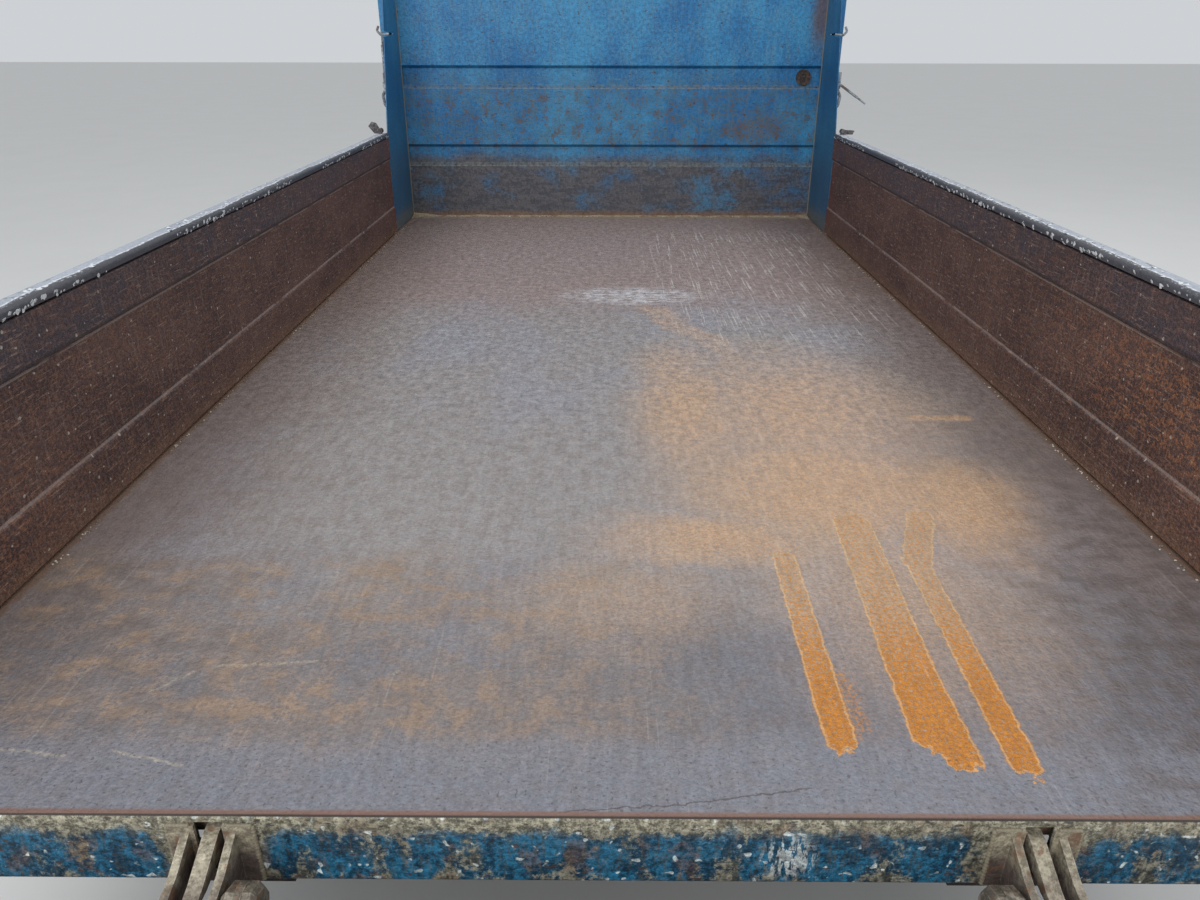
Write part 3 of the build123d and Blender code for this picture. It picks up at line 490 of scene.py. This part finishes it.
def flaking_rail():
    """Grey-blue top rail: smooth on top, bare and dark along its inner lip, with pale flakes between."""
    coat = Coat("gate_rail")
    base = coat.mix(coat.broken(0.09, (1, 4, 1), 1, 0.4), srgb(130, 138, 150), srgb(186, 192, 202))
    across = coat.math("SUBTRACT", coat.math("ABSOLUTE", coat.x), rail_low[0])
    reach = coat.ragged(coat.ragged(across, 0.012, wide_wave, 0), 0.004, close_wave, 1)
    stretches = coat.fade(coat.noise(0.30, (1, 1, 1), 4, 2), 0.44, 0.60)
    edge = coat.math("SUBTRACT", reach, coat.times(stretches, 0.006))
    bare = coat.fade(edge, 0.008, 0.0065)
    holes = coat.times(coat.fade(coat.broken(0.012, (1, 1.6, 1), 5, 0.8), 0.60, 0.63), stretches)
    bare = coat.most(bare, holes)
    colour = coat.lay(srgb(54, 52, 58), base, bare, 0.92)
    rim = coat.times(coat.band(edge, 0.0085, 0.0105, 0.0015), coat.fade(coat.grain(), 0.42, 0.54))
    colour = coat.lay(srgb(222, 226, 230), colour, rim, 0.9)
    curls = coat.times(coat.band(edge, 0.002, 0.011, 0.002), stretches,
                       coat.fade(coat.noise(0.006, (1, 1.6, 1), 6, 3, 0.7), 0.56, 0.60))
    colour = coat.lay(srgb(206, 212, 218), colour, curls, 0.9)
    colour = coat.shade(colour, coat.grain(), 0.35, 0.65, 0.85, 1.12)
    return coat.finish(colour, 0.5, coat.relief(), 0.0012)


def worn_blue(name, extra, plane=None, speckle=0.009):
    """Sun-worn blue paint with runs, chips and scratches; extra(coat, colour) adds a place's own wear, and
    painted shade and highlights on the wall, the wings and the sill.
    """
    coat = Coat(name, plane, speckle)
    tone = coat.fade(coat.broken(0.24, (1, 1, 1.6), 1, 0.4), 0.30, 0.70)
    colour = coat.mix(tone, srgb(8, 104, 162), srgb(52, 138, 186))
    runs = coat.noise(0.012, (1, 1, 14), 2, 2, 0.65)
    colour = coat.lay(srgb(84, 126, 148), colour, coat.fade(runs, 0.50, 0.66, 0.28))
    dull = coat.fade(coat.broken(0.05, (1, 1, 1.4), 3, 0.8), 0.50, 0.68)
    colour = coat.lay(srgb(90, 118, 132), colour, dull, 0.20)
    colour = extra(coat, colour)
    chips = coat.fade(coat.broken(0.010, (1.8, 1.8, 1), 4, 0.5), 0.705, 0.725)
    colour = coat.lay(srgb(60, 48, 46), colour, chips, 0.9)
    scratch = coat.fade(coat.noise(0.006, (4, 4, 1), 5, 3, 0.75), 0.66, 0.70, 0.75)
    colour = coat.lay(srgb(32, 42, 50), colour, scratch)
    drips = coat.fade(coat.noise(0.005, (1, 1, 7), 6, 3, 0.7), 0.66, 0.71, 0.65)
    colour = coat.lay(srgb(70, 66, 64), colour, drips)
    colour = coat.shade(colour, coat.grain(), 0.30, 0.70, 0.72, 1.26)
    return coat.finish(colour, coat.add(coat.times(coat.grain(), 0.2), 0.36), coat.relief(), 0.0008)


def wall_middle(coat, colour, uneven):
    """Scrapes and rust between the wall's grooves, and a brown patch by the right-hand corner."""
    scuffed = coat.fade(coat.broken(0.035, (1.6, 1, 1.2), 12, 1.8), 0.46, 0.58)
    colour = coat.lay(srgb(66, 96, 106), colour, coat.band(uneven, 0.30, 0.50, 0.05), scuffed, 0.5)
    brown = coat.fade(coat.broken(0.035, (1.3, 1, 1.5), 13, 1.8), 0.62, 0.70)
    colour = coat.lay(srgb(86, 70, 62), colour, coat.band(uneven, 0.28, 0.46, 0.06), brown, 0.75)
    place = coat.plane(coat.ragged(coat.x, 0.05, wide_wave, 0), uneven)
    corner = coat.fade(coat.spot(place, (0.58, 0.34), (0.17, 0.07)), 1.1, 0.3)
    return coat.lay(srgb(96, 82, 72), colour, corner, coat.fade(coat.grain(), 0.36, 0.56, 0.7))


def wall_low_band(coat, colour, uneven):
    """The brown band below the lower groove, where more of the blue is left on the right."""
    low = coat.fade(uneven, 0.26, 0.20)
    soft = coat.broken(0.11, (1.6, 1, 1), 15, 0.7)
    bluer = coat.add(soft, coat.fade(coat.x, 0.0, 0.7, 0.14))
    tone = coat.fade(coat.broken(0.03, (3.0, 1, 1), 16, 1.0), 0.38, 0.60)
    scraped = coat.mix(tone, srgb(74, 62, 60), srgb(106, 92, 86))
    colour = coat.lay(scraped, colour, low, coat.fade(bluer, 0.82, 0.50, 0.95))
    colour = coat.lay(srgb(72, 82, 92), colour, low, 0.5)
    slips = coat.times(low, coat.fade(coat.noise(0.018, (4.5, 1, 1), 17, 3, 0.7), 0.58, 0.64),
                       coat.fade(coat.x, 0.2, 0.5))
    return coat.lay(srgb(66, 58, 62), colour, slips, 0.6)


def wall_wear_and_highlights(coat, colour):
    """The front wall: scrapes between the grooves, a brown band low down, and dust with a painted highlight
    on the groove lips.
    """
    height = coat.math("SUBTRACT", coat.z, floor_top)
    uneven = coat.ragged(height, 0.03, wide_wave, 1)
    colour = wall_middle(coat, colour, uneven)
    colour = wall_low_band(coat, colour, uneven)
    foot = coat.fade(coat.ragged(height, 0.006, close_wave, 0), 0.030, 0.008)
    colour = coat.lay(srgb(122, 92, 70), colour, foot, 0.8)
    side = coat.fade(coat.ragged(coat.x, 0.015, wide_wave, 1), half_load - 0.07, half_load - 0.02)
    colour = coat.lay(srgb(98, 62, 46), colour, side, coat.fade(height, 0.55, 0.72, 0.75))
    # Dust and a painted highlight: a pale band on the lower flank of each groove, the face that turns up to
    # the light
    for lip in groove_lips:
        dust = coat.times(coat.band(height, lip - 0.006, lip + 0.004, 0.003),
                          coat.fade(coat.grain(), 0.36, 0.52))
        colour = coat.lay(srgb(118, 122, 118), colour, dust, 0.6)
    return colour


def wing_shade_and_wear(coat, colour):
    """The wings: darker all over with painted shade, duller low down, and stained towards the floor."""
    height = coat.math("SUBTRACT", coat.z, floor_top)
    # Painted shade: the wing's blue darkened all over against the wall's, as the wing faces away from the
    # light
    colour = coat.lay(srgb(28, 72, 104), colour, 0.45)
    dull = coat.fade(coat.ragged(height, 0.05, wide_wave, 1), 0.5, 0.15)
    colour = coat.lay(srgb(58, 82, 98), colour, dull, 0.5)
    foot = coat.fade(coat.ragged(height, 0.02, close_wave, 0), 0.08, 0.02)
    return coat.lay(srgb(104, 104, 94), colour, foot, 0.7)


def frame_wear(coat, colour):
    """The outer frame: rust along its edges, and road dirt thickening towards the ground."""
    low = coat.fade(coat.ragged(coat.z, 0.05, wide_wave, 1), floor_top + 0.10, floor_top - 0.12, 0.55)
    colour = coat.lay(srgb(104, 98, 86), colour, low, coat.fade(coat.grain(), 0.36, 0.60, 1.0, 0.5))
    rust = coat.times(coat.edge(0.003), coat.fade(coat.noise(0.03, seed=14), 0.44, 0.54, 0.85))
    return coat.lay(srgb(112, 72, 50), colour, rust)


def sill_khaki(coat, colour, depth):
    """Khaki where the sill's blue has gone: along the top and the foot, round the locks and in patches."""
    khaki = coat.mix(coat.fade(coat.broken(0.012, (1, 1, 2.4), 13, 0.8), 0.34, 0.62),
                     srgb(58, 60, 54), srgb(108, 106, 94))
    pale = coat.mix(coat.fade(coat.grain(), 0.4, 0.6), srgb(118, 112, 94), srgb(150, 146, 128))
    from_middle = coat.math("ABSOLUTE", coat.ragged(coat.x, 0.012, close_wave, 0))
    from_lock = coat.math("ABSOLUTE", coat.math("SUBTRACT", from_middle, lock_x))
    flare = coat.fade(coat.math("SUBTRACT", from_lock, coat.fade(depth, 0.06, 0.0, 0.025)), 0.060, 0.035)
    top = coat.fade(coat.ragged(depth, 0.010, close_wave, 1), 0.034, 0.010)
    foot = coat.fade(depth, 0.070, 0.090)
    wear = coat.add(coat.broken(0.060, (0.9, 1, 1.6), 16, 0.8),
                    coat.times(top, 0.34), coat.times(flare, 0.36), coat.times(foot, 0.12))
    colour = coat.lay(khaki, colour, coat.fade(wear, 0.58, 0.70))
    return coat.lay(pale, colour, coat.most(top, coat.times(flare, 0.55)), 0.8)


def sill_wear_and_shade(coat, colour):
    """The rear sill: khaki, broken patches of blue, cream specks and one pale splash; painted shade, nearly
    black, on its inside under the floor.
    """
    depth = coat.math("SUBTRACT", floor_top, coat.z)
    tone = coat.fade(coat.broken(0.03, (1, 1, 1.6), 11, 0.8), 0.36, 0.60)
    colour = coat.mix(tone, srgb(8, 54, 76), srgb(26, 86, 114))
    streaks = coat.fade(coat.noise(0.008, (1, 1, 5), 12, 3, 0.7), 0.52, 0.66)
    colour = coat.lay(srgb(66, 72, 70), colour, streaks, 0.5)
    colour = sill_khaki(coat, colour, depth)
    rust = coat.fade(coat.broken(0.035, (1, 1, 1.3), 17, 0.8), 0.62, 0.68)
    colour = coat.lay(srgb(92, 68, 50), colour, rust, 0.45)
    cream = coat.times(coat.specks(0.009, 18, 0.07),
                       coat.fade(coat.noise(0.03, (1, 1, 1), 19, 1), 0.50, 0.60))
    colour = coat.lay(srgb(186, 194, 192), colour, cream, 0.75)
    smear = coat.fade(coat.noise(0.007, (1, 1, 3.5), 20, 3, 0.7), 0.46, 0.54)
    place = coat.plane(coat.ragged(coat.x, 0.012, close_wave, 1), depth)
    splash = coat.fade(coat.spot(place, (0.163, 0.055), (0.032, 0.036)), 1.1, 0.4)
    colour = coat.lay(srgb(180, 186, 184), colour, splash, smear, 0.75)
    colour = coat.shade(colour, coat.grain(), 0.33, 0.67, 0.62, 1.35)
    # Painted shade: the sill's faces under the floor, between the gates, darkened nearly to black
    inside = coat.fade(coat.y, rear_y + 0.0008, rear_y + 0.0016)
    central = coat.fade(coat.math("ABSOLUTE", coat.x), half_load + 0.001, half_load)
    painted_shade_inside = coat.times(inside, central, coat.fade(depth, 0.002, 0.004))
    return coat.lay(srgb(20, 18, 17), colour, painted_shade_inside, 0.92)


def weathered_steel(name, base, light, rust_share, low=None):
    """Bare or greasy steel: two tones, rust freckles and worn edges; low is a darker colour painted on its
    foot as shade.
    """
    coat = Coat(name)
    colour = coat.mix(coat.fade(coat.broken(0.03, (1, 1, 1), 1, 0.8), 0.36, 0.64), srgb(*base), srgb(*light))
    if low:
        # Painted shade: the foot, from 3 to 6 cm below the floor's top, darkened towards the low colour
        depth = coat.ragged(coat.math("SUBTRACT", floor_top, coat.z), 0.010, close_wave, 1)
        colour = coat.lay(srgb(*low), colour, coat.fade(depth, 0.030, 0.062, 0.9))
    start = 0.66 - rust_share * 0.25
    rust = coat.fade(coat.broken(0.025, (1, 1, 1), 2, 0.9), start, start + 0.06)
    colour = coat.lay(srgb(108, 76, 54), colour, rust, 0.75)
    worn = coat.times(coat.edge(0.002), coat.fade(coat.noise(0.008, seed=3), 0.4, 0.55))
    colour = coat.lay(srgb(186, 180, 168), colour, worn, 0.5)
    colour = coat.shade(colour, coat.grain(), 0.33, 0.67, 0.68, 1.30)
    return coat.finish(colour, coat.add(coat.times(rust, 0.25), 0.5), coat.relief(), 0.0014, 0.2)


def chassis_black():
    """Dull black paint under road dust, with rust at the edges."""
    coat = Coat("underframe")
    colour = coat.mix(coat.noise(0.2, seed=1), srgb(40, 42, 45), srgb(66, 64, 60))
    dust = coat.fade(coat.broken(0.06, (1, 1, 1), 2, 0.8), 0.50, 0.66)
    colour = coat.lay(srgb(112, 104, 92), colour, dust, 0.5)
    rust = coat.times(coat.edge(0.003), coat.fade(coat.noise(0.03, seed=3), 0.42, 0.55))
    colour = coat.lay(srgb(112, 70, 44), colour, rust, 0.75)
    return coat.finish(colour, 0.68, coat.relief(), 0.0012)


def ram_plating():
    """Ground and plated tube, with faint turning marks and an oily film."""
    coat = Coat("ram_steel")
    turned = coat.noise(0.0016, (40, 40, 1), 1, 3, 0.6)
    colour = coat.mix(turned, srgb(168, 170, 174), srgb(206, 208, 210))
    film = coat.fade(coat.noise(0.05, (1, 1, 2), 2, 4, 0.6), 0.5, 0.7)
    colour = coat.lay(srgb(118, 106, 88), colour, film, 0.5)
    return coat.finish(colour, coat.add(coat.times(film, 0.2), 0.22), turned, 0.0002, 0.9)


def pad_rubber():
    coat = Coat("pad_rubber")
    colour = coat.mix(coat.noise(0.03, seed=1), srgb(32, 32, 33), srgb(58, 56, 54))
    return coat.finish(colour, 0.85, coat.noise(0.003, seed=2), 0.0006)


def loose_sand():
    coat = Coat("sand")
    grain = coat.noise(0.003, seed=1, rough=0.7)
    colour = coat.mix(coat.fade(grain, 0.35, 0.65), srgb(124, 110, 90), srgb(178, 166, 142))
    colour = coat.lay(srgb(128, 104, 84), colour, coat.fade(coat.noise(0.05, seed=2), 0.45, 0.65))
    return coat.finish(colour, 0.95, grain, 0.002)


def stone():
    coat = Coat("stone")
    tone = coat.noise(0.012, seed=1)
    colour = coat.mix(coat.fade(tone, 0.4, 0.6), srgb(112, 100, 90), srgb(200, 192, 180))
    return coat.finish(colour, 0.9, coat.noise(0.002, seed=2), 0.0006)


def loose_paint():
    coat = Coat("loose_paint")
    tone = coat.noise(0.008, seed=1)
    return coat.finish(coat.mix(tone, srgb(190, 198, 206), srgb(232, 234, 234)), 0.6, tone, 0.0004)


def weld_metal():
    coat = Coat("weld")
    colour = coat.mix(coat.noise(0.01, seed=1), srgb(96, 88, 72), srgb(150, 142, 122))
    return coat.finish(colour, 0.6, coat.noise(0.003, seed=2), 0.0008)


def studio_pale():
    coat = Coat("studio_floor")
    return coat.finish(coat.mix(coat.noise(0.4, seed=1), srgb(214, 214, 212), srgb(222, 222, 220)), 0.9)


def dress(material, *names):
    """Give CAD nodes their finish."""
    for name in names:
        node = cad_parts[name]
        if not node.material_slots:
            node.data.materials.append(material)
        for slot in node.material_slots:
            slot.material = material


def add_object(name, data):
    made = bpy.data.objects.new(name, data)
    bpy.context.scene.collection.objects.link(made)
    return made


def new_piece(name, mesh, body, material):
    """A detail in mesh form that moves with one CAD body."""
    data = bpy.data.meshes.new(name)
    mesh.to_mesh(data)
    mesh.free()
    piece = add_object(name, data)
    data.materials.append(material)
    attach(piece, body)
    return piece


def smooth(piece):
    for face in piece.data.polygons:
        face.use_smooth = True


def ball_shape():
    """Corners and faces of a small ball one unit in radius."""
    ball = bmesh.new()
    bmesh.ops.create_icosphere(ball, subdivisions=2, radius=1.0)
    corners = [vertex.co.copy() for vertex in ball.verts]
    faces = [[vertex.index for vertex in face.verts] for face in ball.faces]
    ball.free()
    return corners, faces


def add_pebble(mesh, ball, centre, size, chance):
    """One rough stone: a small ball pushed about by noise and flattened a little."""
    dent, dent_pitch, tilt, seeds = 0.35, 1.1, 0.6, 50
    corners, faces = ball
    spin = Matrix.Rotation(chance.uniform(0, math.tau), 4, "Z")
    turn = spin @ Matrix.Rotation(chance.uniform(0, tilt), 4, "X")
    squash = Matrix.Diagonal((1.0, chance.uniform(0.6, 0.95), chance.uniform(0.5, 0.8), 1.0))
    offset = Vector([chance.uniform(0, seeds) for _ in range(3)])
    made = []
    for corner in corners:
        push = 1 + dent * noise.noise(corner * dent_pitch + offset)
        made.append(mesh.verts.new(turn @ (squash @ (corner * size * push)) + centre))
    for face in faces:
        mesh.faces.new([made[i] for i in face])


def gap_gravel():
    """Grit and small stones that lie on the floor along both side gates and in the front corners."""
    grit_count, grit_sizes, stone_count, stone_sizes = 360, (0.0007, 0.0022), 90, (0.0012, 0.0032)
    gate_gap, gate_drift, wall_gap, wall_drift = 0.004, 0.004, 0.006, 0.012
    end_clear, lift, bare_pitch, bare_below = 0.01, 0.6, 3.1, -0.05
    chance = random.Random(7)
    ball = ball_shape()
    mesh = bmesh.new()
    for side in (-1, 1):
        for _ in range(grit_count):
            size = chance.uniform(*grit_sizes)
            y = chance.uniform(skin_low[1] + 2 * end_clear, wall_y - end_clear)
            if noise.noise(Vector((y * bare_pitch, side * 9.0, 0))) < bare_below:
                continue
            drift = abs(chance.gauss(0, gate_drift))
            centre = Vector((side * (half_load - gate_gap - drift), y, floor_top + size * lift))
            add_pebble(mesh, ball, centre, size, chance)
    for _ in range(stone_count):
        size = chance.uniform(*stone_sizes)
        x = chance.uniform(-1, 1) * (half_load - end_clear)
        y = wall_y - wall_gap - abs(chance.gauss(0, wall_drift))
        add_pebble(mesh, ball, Vector((x, y, floor_top + size * lift)), size, chance)
    smooth(new_piece("gap_gravel", mesh, "bed", stone()))


def sand_ridge():
    """Dirt banked along the front wall and up into its two corners."""
    steps, rows, corner_reach, slope = 260, 6, 0.11, 1.6
    wall_gap, thinnest, last_row = 0.0006, 0.0003, 0.1
    # Of the bank's width and of its height: the plain size, how much it varies, and what the corner adds
    foot, foot_swing, foot_corner = 0.014, 0.010, 0.10
    top, top_swing, top_corner = 0.005, 0.003, 0.010
    lumps = 0.0006
    mesh = bmesh.new()
    grid = []
    for i in range(steps + 1):
        x = -half_load + 2 * half_load * i / steps
        corner = max(0.0, abs(x) - (half_load - corner_reach)) / corner_reach
        width = foot + foot_swing * noise.noise(Vector((x * 9, 3.0, 0))) + foot_corner * corner ** 2.2
        peak = top + top_swing * noise.noise(Vector((x * 14, 0, 5.0))) + top_corner * corner ** 2
        line = []
        for j in range(rows + 1):
            share = j / rows
            lift = peak * (1 - share) ** slope + lumps * noise.noise(Vector((x * 160, share * 5, 1)))
            lift = max(thinnest, lift) * (1 if j < rows else last_row)
            line.append(mesh.verts.new((x, wall_y - wall_gap - width * share, floor_top + lift)))
        grid.append(line)
    for a, b in zip(grid, grid[1:]):
        for j in range(rows):
            mesh.faces.new((a[j], a[j + 1], b[j + 1], b[j]))
    smooth(new_piece("sand_ridge", mesh, "bed", loose_sand()))


def add_bead(mesh, points, radius, seed):
    """A weld bead along straight runs: a half-sunk tube with the ripples of a hand weld."""
    sides, pitch, end_size = 8, radius * 0.55, 0.5
    ripple, ripple_turn, lump, lump_turn = 0.16, 1.9, 0.18, 0.35
    for start, end in zip(points, points[1:]):
        start, end = Vector(start), Vector(end)
        along = (end - start).normalized()
        across = along.orthogonal().normalized()
        other = along.cross(across)
        count = max(2, int((end - start).length / pitch))
        rings = []
        for i in range(count + 1):
            lumpy = lump * noise.noise(Vector((i * lump_turn, seed, 0)))
            wave = 1 + ripple * math.sin(i * ripple_turn) + lumpy
            size = radius * wave * (end_size if i in (0, count) else 1)
            centre = start + (end - start) * i / count
            ring = [mesh.verts.new(centre + (across * math.cos(a) + other * math.sin(a)) * size)
                    for a in (math.tau * k / sides for k in range(sides))]
            rings.append(ring)
        for a, b in zip(rings, rings[1:]):
            for k in range(sides):
                mesh.faces.new((a[k], a[(k + 1) % sides], b[(k + 1) % sides], b[k]))
        mesh.faces.new(rings[0][::-1])
        mesh.faces.new(rings[-1])


def weld_beads():
    """Welds that show: at the lock plates, by the rear posts, along the wings and in the wall's corners."""
    fine, middling, thick = 0.0022, 0.0024, 0.003
    slot_clear = 0.004
    plate_y, plate_low, plate_high = sill_low[1] - 0.001, sill_low[2] + 0.003, floor_top - 0.0155
    post_x, post_y = half_load + 0.0015, sill_low[1] + 0.001
    post_low, post_high = sill_low[2] + 0.004, floor_top - 0.005
    foot_x, foot_z = wing_x + 0.001, floor_top + 0.001
    foot_start, foot_end = wing_low[1] + 0.02, wing_high[1] - 0.06
    wall_x, wall_face = half_load + 0.0025, wall_y - 0.0005
    corner_low, corner_high = floor_top + 0.006, wing_high[2] - 0.05
    mesh = bmesh.new()
    for side in (-1, 1):
        for edge, slot in zip(lock_plate_edges, lock_slot_edges):
            x = side * edge
            end = side * (slot + math.copysign(slot_clear, edge - slot))
            corner = (x, plate_y, plate_high)
            add_bead(mesh, [(x, plate_y, plate_low), corner], middling, x)
            add_bead(mesh, [corner, (end, plate_y, plate_high)], fine, 3)
        x = side * post_x
        add_bead(mesh, [(x, post_y, post_low), (x, post_y, post_high)], thick, 5)
        x = side * foot_x
        add_bead(mesh, [(x, foot_start, foot_z), (x, foot_end, foot_z)], thick, 7)
        x = side * wall_x
        add_bead(mesh, [(x, wall_face, corner_low), (x, wall_face, corner_high)], fine, 9)
    smooth(new_piece("weld_beads", mesh, "bed", weld_metal()))


def paint_flakes():
    """Curled flakes of old paint that stand off the side gates' top rails."""
    count, corner_count, sizes, thickness = 420, 6, (0.0016, 0.0055), 0.0003
    on_top_share, end_clear, bare_pitch, bare_below = 0.45, 0.01, 2.3, -0.12
    top_places, side_places, top_lift, side_lift = (0.006, 0.026), (0.006, 0.013), 0.0004, 0.0006
    top_tilts, side_tilts, reach, curls = (-0.3, 0.3), (0.1, 0.7), (0.6, 1.1), (20, 90)
    inner = rail_low[0]
    for name, side in (("left_gate", -1), ("right_gate", 1)):
        chance = random.Random(31 + side)
        mesh = bmesh.new()
        for _ in range(count):
            y = chance.uniform(rail_low[1] + end_clear, rail_high[1] - end_clear)
            if noise.noise(Vector((y * bare_pitch, side * 4.0, 0))) < bare_below:
                continue
            size = chance.uniform(*sizes)
            if chance.random() < on_top_share:
                spot = Vector((side * (inner + chance.uniform(*top_places)), y, rail_high[2] + top_lift))
                tilt = Matrix.Rotation(chance.uniform(*top_tilts), 4, "Y")
            else:
                spot = Vector((side * (inner - side_lift), y, rail_high[2] - chance.uniform(*side_places)))
                tilt = Matrix.Rotation(side * (math.pi / 2 - chance.uniform(*side_tilts)), 4, "Y")
            spin = Matrix.Rotation(chance.uniform(0, math.tau), 4, "Z")
            corners = [(math.cos(a) * size * chance.uniform(*reach),
                        math.sin(a) * size * chance.uniform(*reach))
                       for a in (math.tau * k / corner_count for k in range(corner_count))]
            curl = chance.uniform(*curls)
            ring = [mesh.verts.new(tilt @ spin @ Vector((u, v, curl * u * u)) + spot) for u, v in corners]
            mesh.faces.new(ring)
        bmesh.ops.triangulate(mesh, faces=mesh.faces[:])
        bmesh.ops.solidify(mesh, geom=mesh.faces[:], thickness=thickness)
        new_piece(name + "_paint_flakes", mesh, name, loose_paint())


def add_hex_head(mesh, centre, axis, radius, height):
    """A hexagon bolt head with a domed top and a washer, its axis along one row axis."""
    turn = Vector((0, 0, 1)).rotation_difference(Vector(axis)).to_matrix().to_4x4()
    place = Matrix.Translation(Vector(centre)) @ turn
    washer, dome, round_sides = radius * 0.2, height * 0.16, 24
    # Sides, lower radius, upper radius, start and depth of each layer
    layers = (
        (round_sides, radius * 1.35, radius * 1.35, 0, washer),
        (6, radius, radius * 0.98, washer, height),
        (round_sides, radius * 0.84, radius * 0.6, washer + height, dome),
    )
    for sides, low, high, start, depth in layers:
        cone = bmesh.ops.create_cone(mesh, cap_ends=True, segments=sides,
                                     radius1=low, radius2=high, depth=depth)
        for vertex in cone["verts"]:
            vertex.co = place @ (vertex.co + Vector((0, 0, start + depth / 2)))


def hinge_bolts(steel):
    """Two bolts through each side gate hinge strap."""
    strap_count, half_strap, strap_face = 4, 0.026, skin_high[0] + 0.006
    bolt_heights, head_radius, head_height = (0.035, 0.068), 0.007, 0.005
    first, last = hinge_low[1] + half_strap, hinge_high[1] - half_strap
    for name, side in (("left_gate", -1), ("right_gate", 1)):
        mesh = bmesh.new()
        for i in range(strap_count):
            y = first + (last - first) * i / (strap_count - 1)
            for height in bolt_heights:
                centre = (side * strap_face, y, floor_top + height)
                add_hex_head(mesh, centre, (side, 0, 0), head_radius, head_height)
        new_piece(name + "_hinge_bolts", mesh, name, steel)


def dress_frame():
    """Every CAD node's finish; gives back the steel of the hinges for their bolts."""
    steel = weathered_steel("hinge_steel", (88, 80, 70), (128, 120, 106), 0.5)
    plug = weathered_steel("plug_steel", (46, 40, 38), (74, 62, 54), 0.3)
    lock = weathered_steel("lock_steel", (122, 114, 98), (168, 160, 140), 0.2, (86, 73, 70))
    pale = weathered_steel("latch_plate", (104, 110, 118), (164, 170, 176), 0.35)
    frosted = weathered_steel("gate_latch", (50, 46, 48), (112, 108, 112), 0.3)
    black = chassis_black()
    plating = ram_plating()
    skin = rusted_skin("gate_skin", "yz", floor_top, 1)
    hanging = rusted_skin("tailgate_skin", "xz", hanging_edge, -1)
    rail = flaking_rail()
    dress(floor_steel(), "floor_plate")
    dress(worn_blue("front_wall_blue", wall_wear_and_highlights, "xz", 0.013), "front_wall")
    dress(worn_blue("wing_blue", wing_shade_and_wear, "yz", 0.012), "wing_panels")
    dress(worn_blue("sill_blue", sill_wear_and_shade, "xz"), "rear_sill")
    dress(worn_blue("frame_blue", frame_wear), "rear_posts", "wall_stiffeners", "side_sills",
          "left_gate_ribs", "right_gate_ribs", "tailgate_ribs")
    dress(skin, "left_gate_skin", "right_gate_skin")
    dress(hanging, "tailgate_skin")
    dress(rail, "left_gate_rail", "right_gate_rail", "tailgate_rail")
    dress(black, "floor_crossmembers", "bed_long_sills", "subframe_rails", "subframe_crossmembers",
          "chassis_brackets", "ram_cradle", "lift_beam", "ram_barrel")
    dress(steel, "gate_hinge_lugs", "left_gate_hinges", "right_gate_hinges", "lock_shaft", "tailgate_lugs",
          "tailgate_pins", "tailgate_top_pins", "tip_hinge_cheeks", "tip_hinge_pins", "tip_ears")
    dress(plug, "wall_plug")
    dress(lock, "lock_claws", "lock_brackets")
    dress(pale, "wing_latches")
    dress(frosted, "left_gate_latch", "right_gate_latch")
    dress(plating, "ram_stage_1", "ram_stage_2", "ram_stage_3", "ram_rod")
    dress(pad_rubber(), "rest_pads")
    return steel


def make_camera():
    """The photograph's view, from above and behind the rear sill."""
    pitch, yaw, roll = camera_pitch, camera_yaw, camera_roll
    forward = Vector((math.sin(yaw) * math.cos(pitch), math.cos(yaw) * math.cos(pitch), -math.sin(pitch)))
    level = Vector((math.cos(yaw), -math.sin(yaw), 0))
    upright = level.cross(forward)
    right = math.cos(roll) * level + math.sin(roll) * upright
    up = math.cos(roll) * upright - math.sin(roll) * level
    data = bpy.data.cameras.new("camera")
    data.sensor_width = sensor_width
    data.lens = focal_pixels / image_width * sensor_width
    data.clip_start = nearest_drawn
    camera = add_object("camera", data)
    turn = Matrix((right, up, -forward)).transposed().to_4x4()
    camera.matrix_world = Matrix.Translation(Vector((0, rear_y, floor_top)) + camera_from_sill) @ turn
    bpy.context.scene.camera = camera


def make_studio():
    """Pale floor, pale surroundings and soft light from above."""
    world = bpy.data.worlds.new("studio")
    bpy.context.scene.world = world
    world.use_nodes = True
    sky = world.node_tree.nodes["Background"]
    sky.inputs["Color"].default_value = sky_colour
    sky.inputs["Strength"].default_value = sky_strength

    ground = bmesh.new()
    bmesh.ops.create_grid(ground, x_segments=1, y_segments=1, size=studio_half)
    data = bpy.data.meshes.new("studio_floor")
    ground.to_mesh(data)
    ground.free()
    floor = add_object("studio_floor", data)
    floor.location.z = cad_box[0][2] - studio_gap
    data.materials.append(studio_pale())

    for name, place, width, power in lamps:
        lamp = bpy.data.lights.new(name, "AREA")
        lamp.size = width
        lamp.energy = power
        holder = add_object(name, lamp)
        holder.location = place
        holder.rotation_euler = (-Vector(place)).to_track_quat("-Z", "Y").to_euler()


bpy.context.scene.view_settings.view_transform = "Standard"
make_camera()
make_studio()
bolt_steel = dress_frame()
sand_ridge()
gap_gravel()
weld_beads()
paint_flakes()
hinge_bolts(bolt_steel)
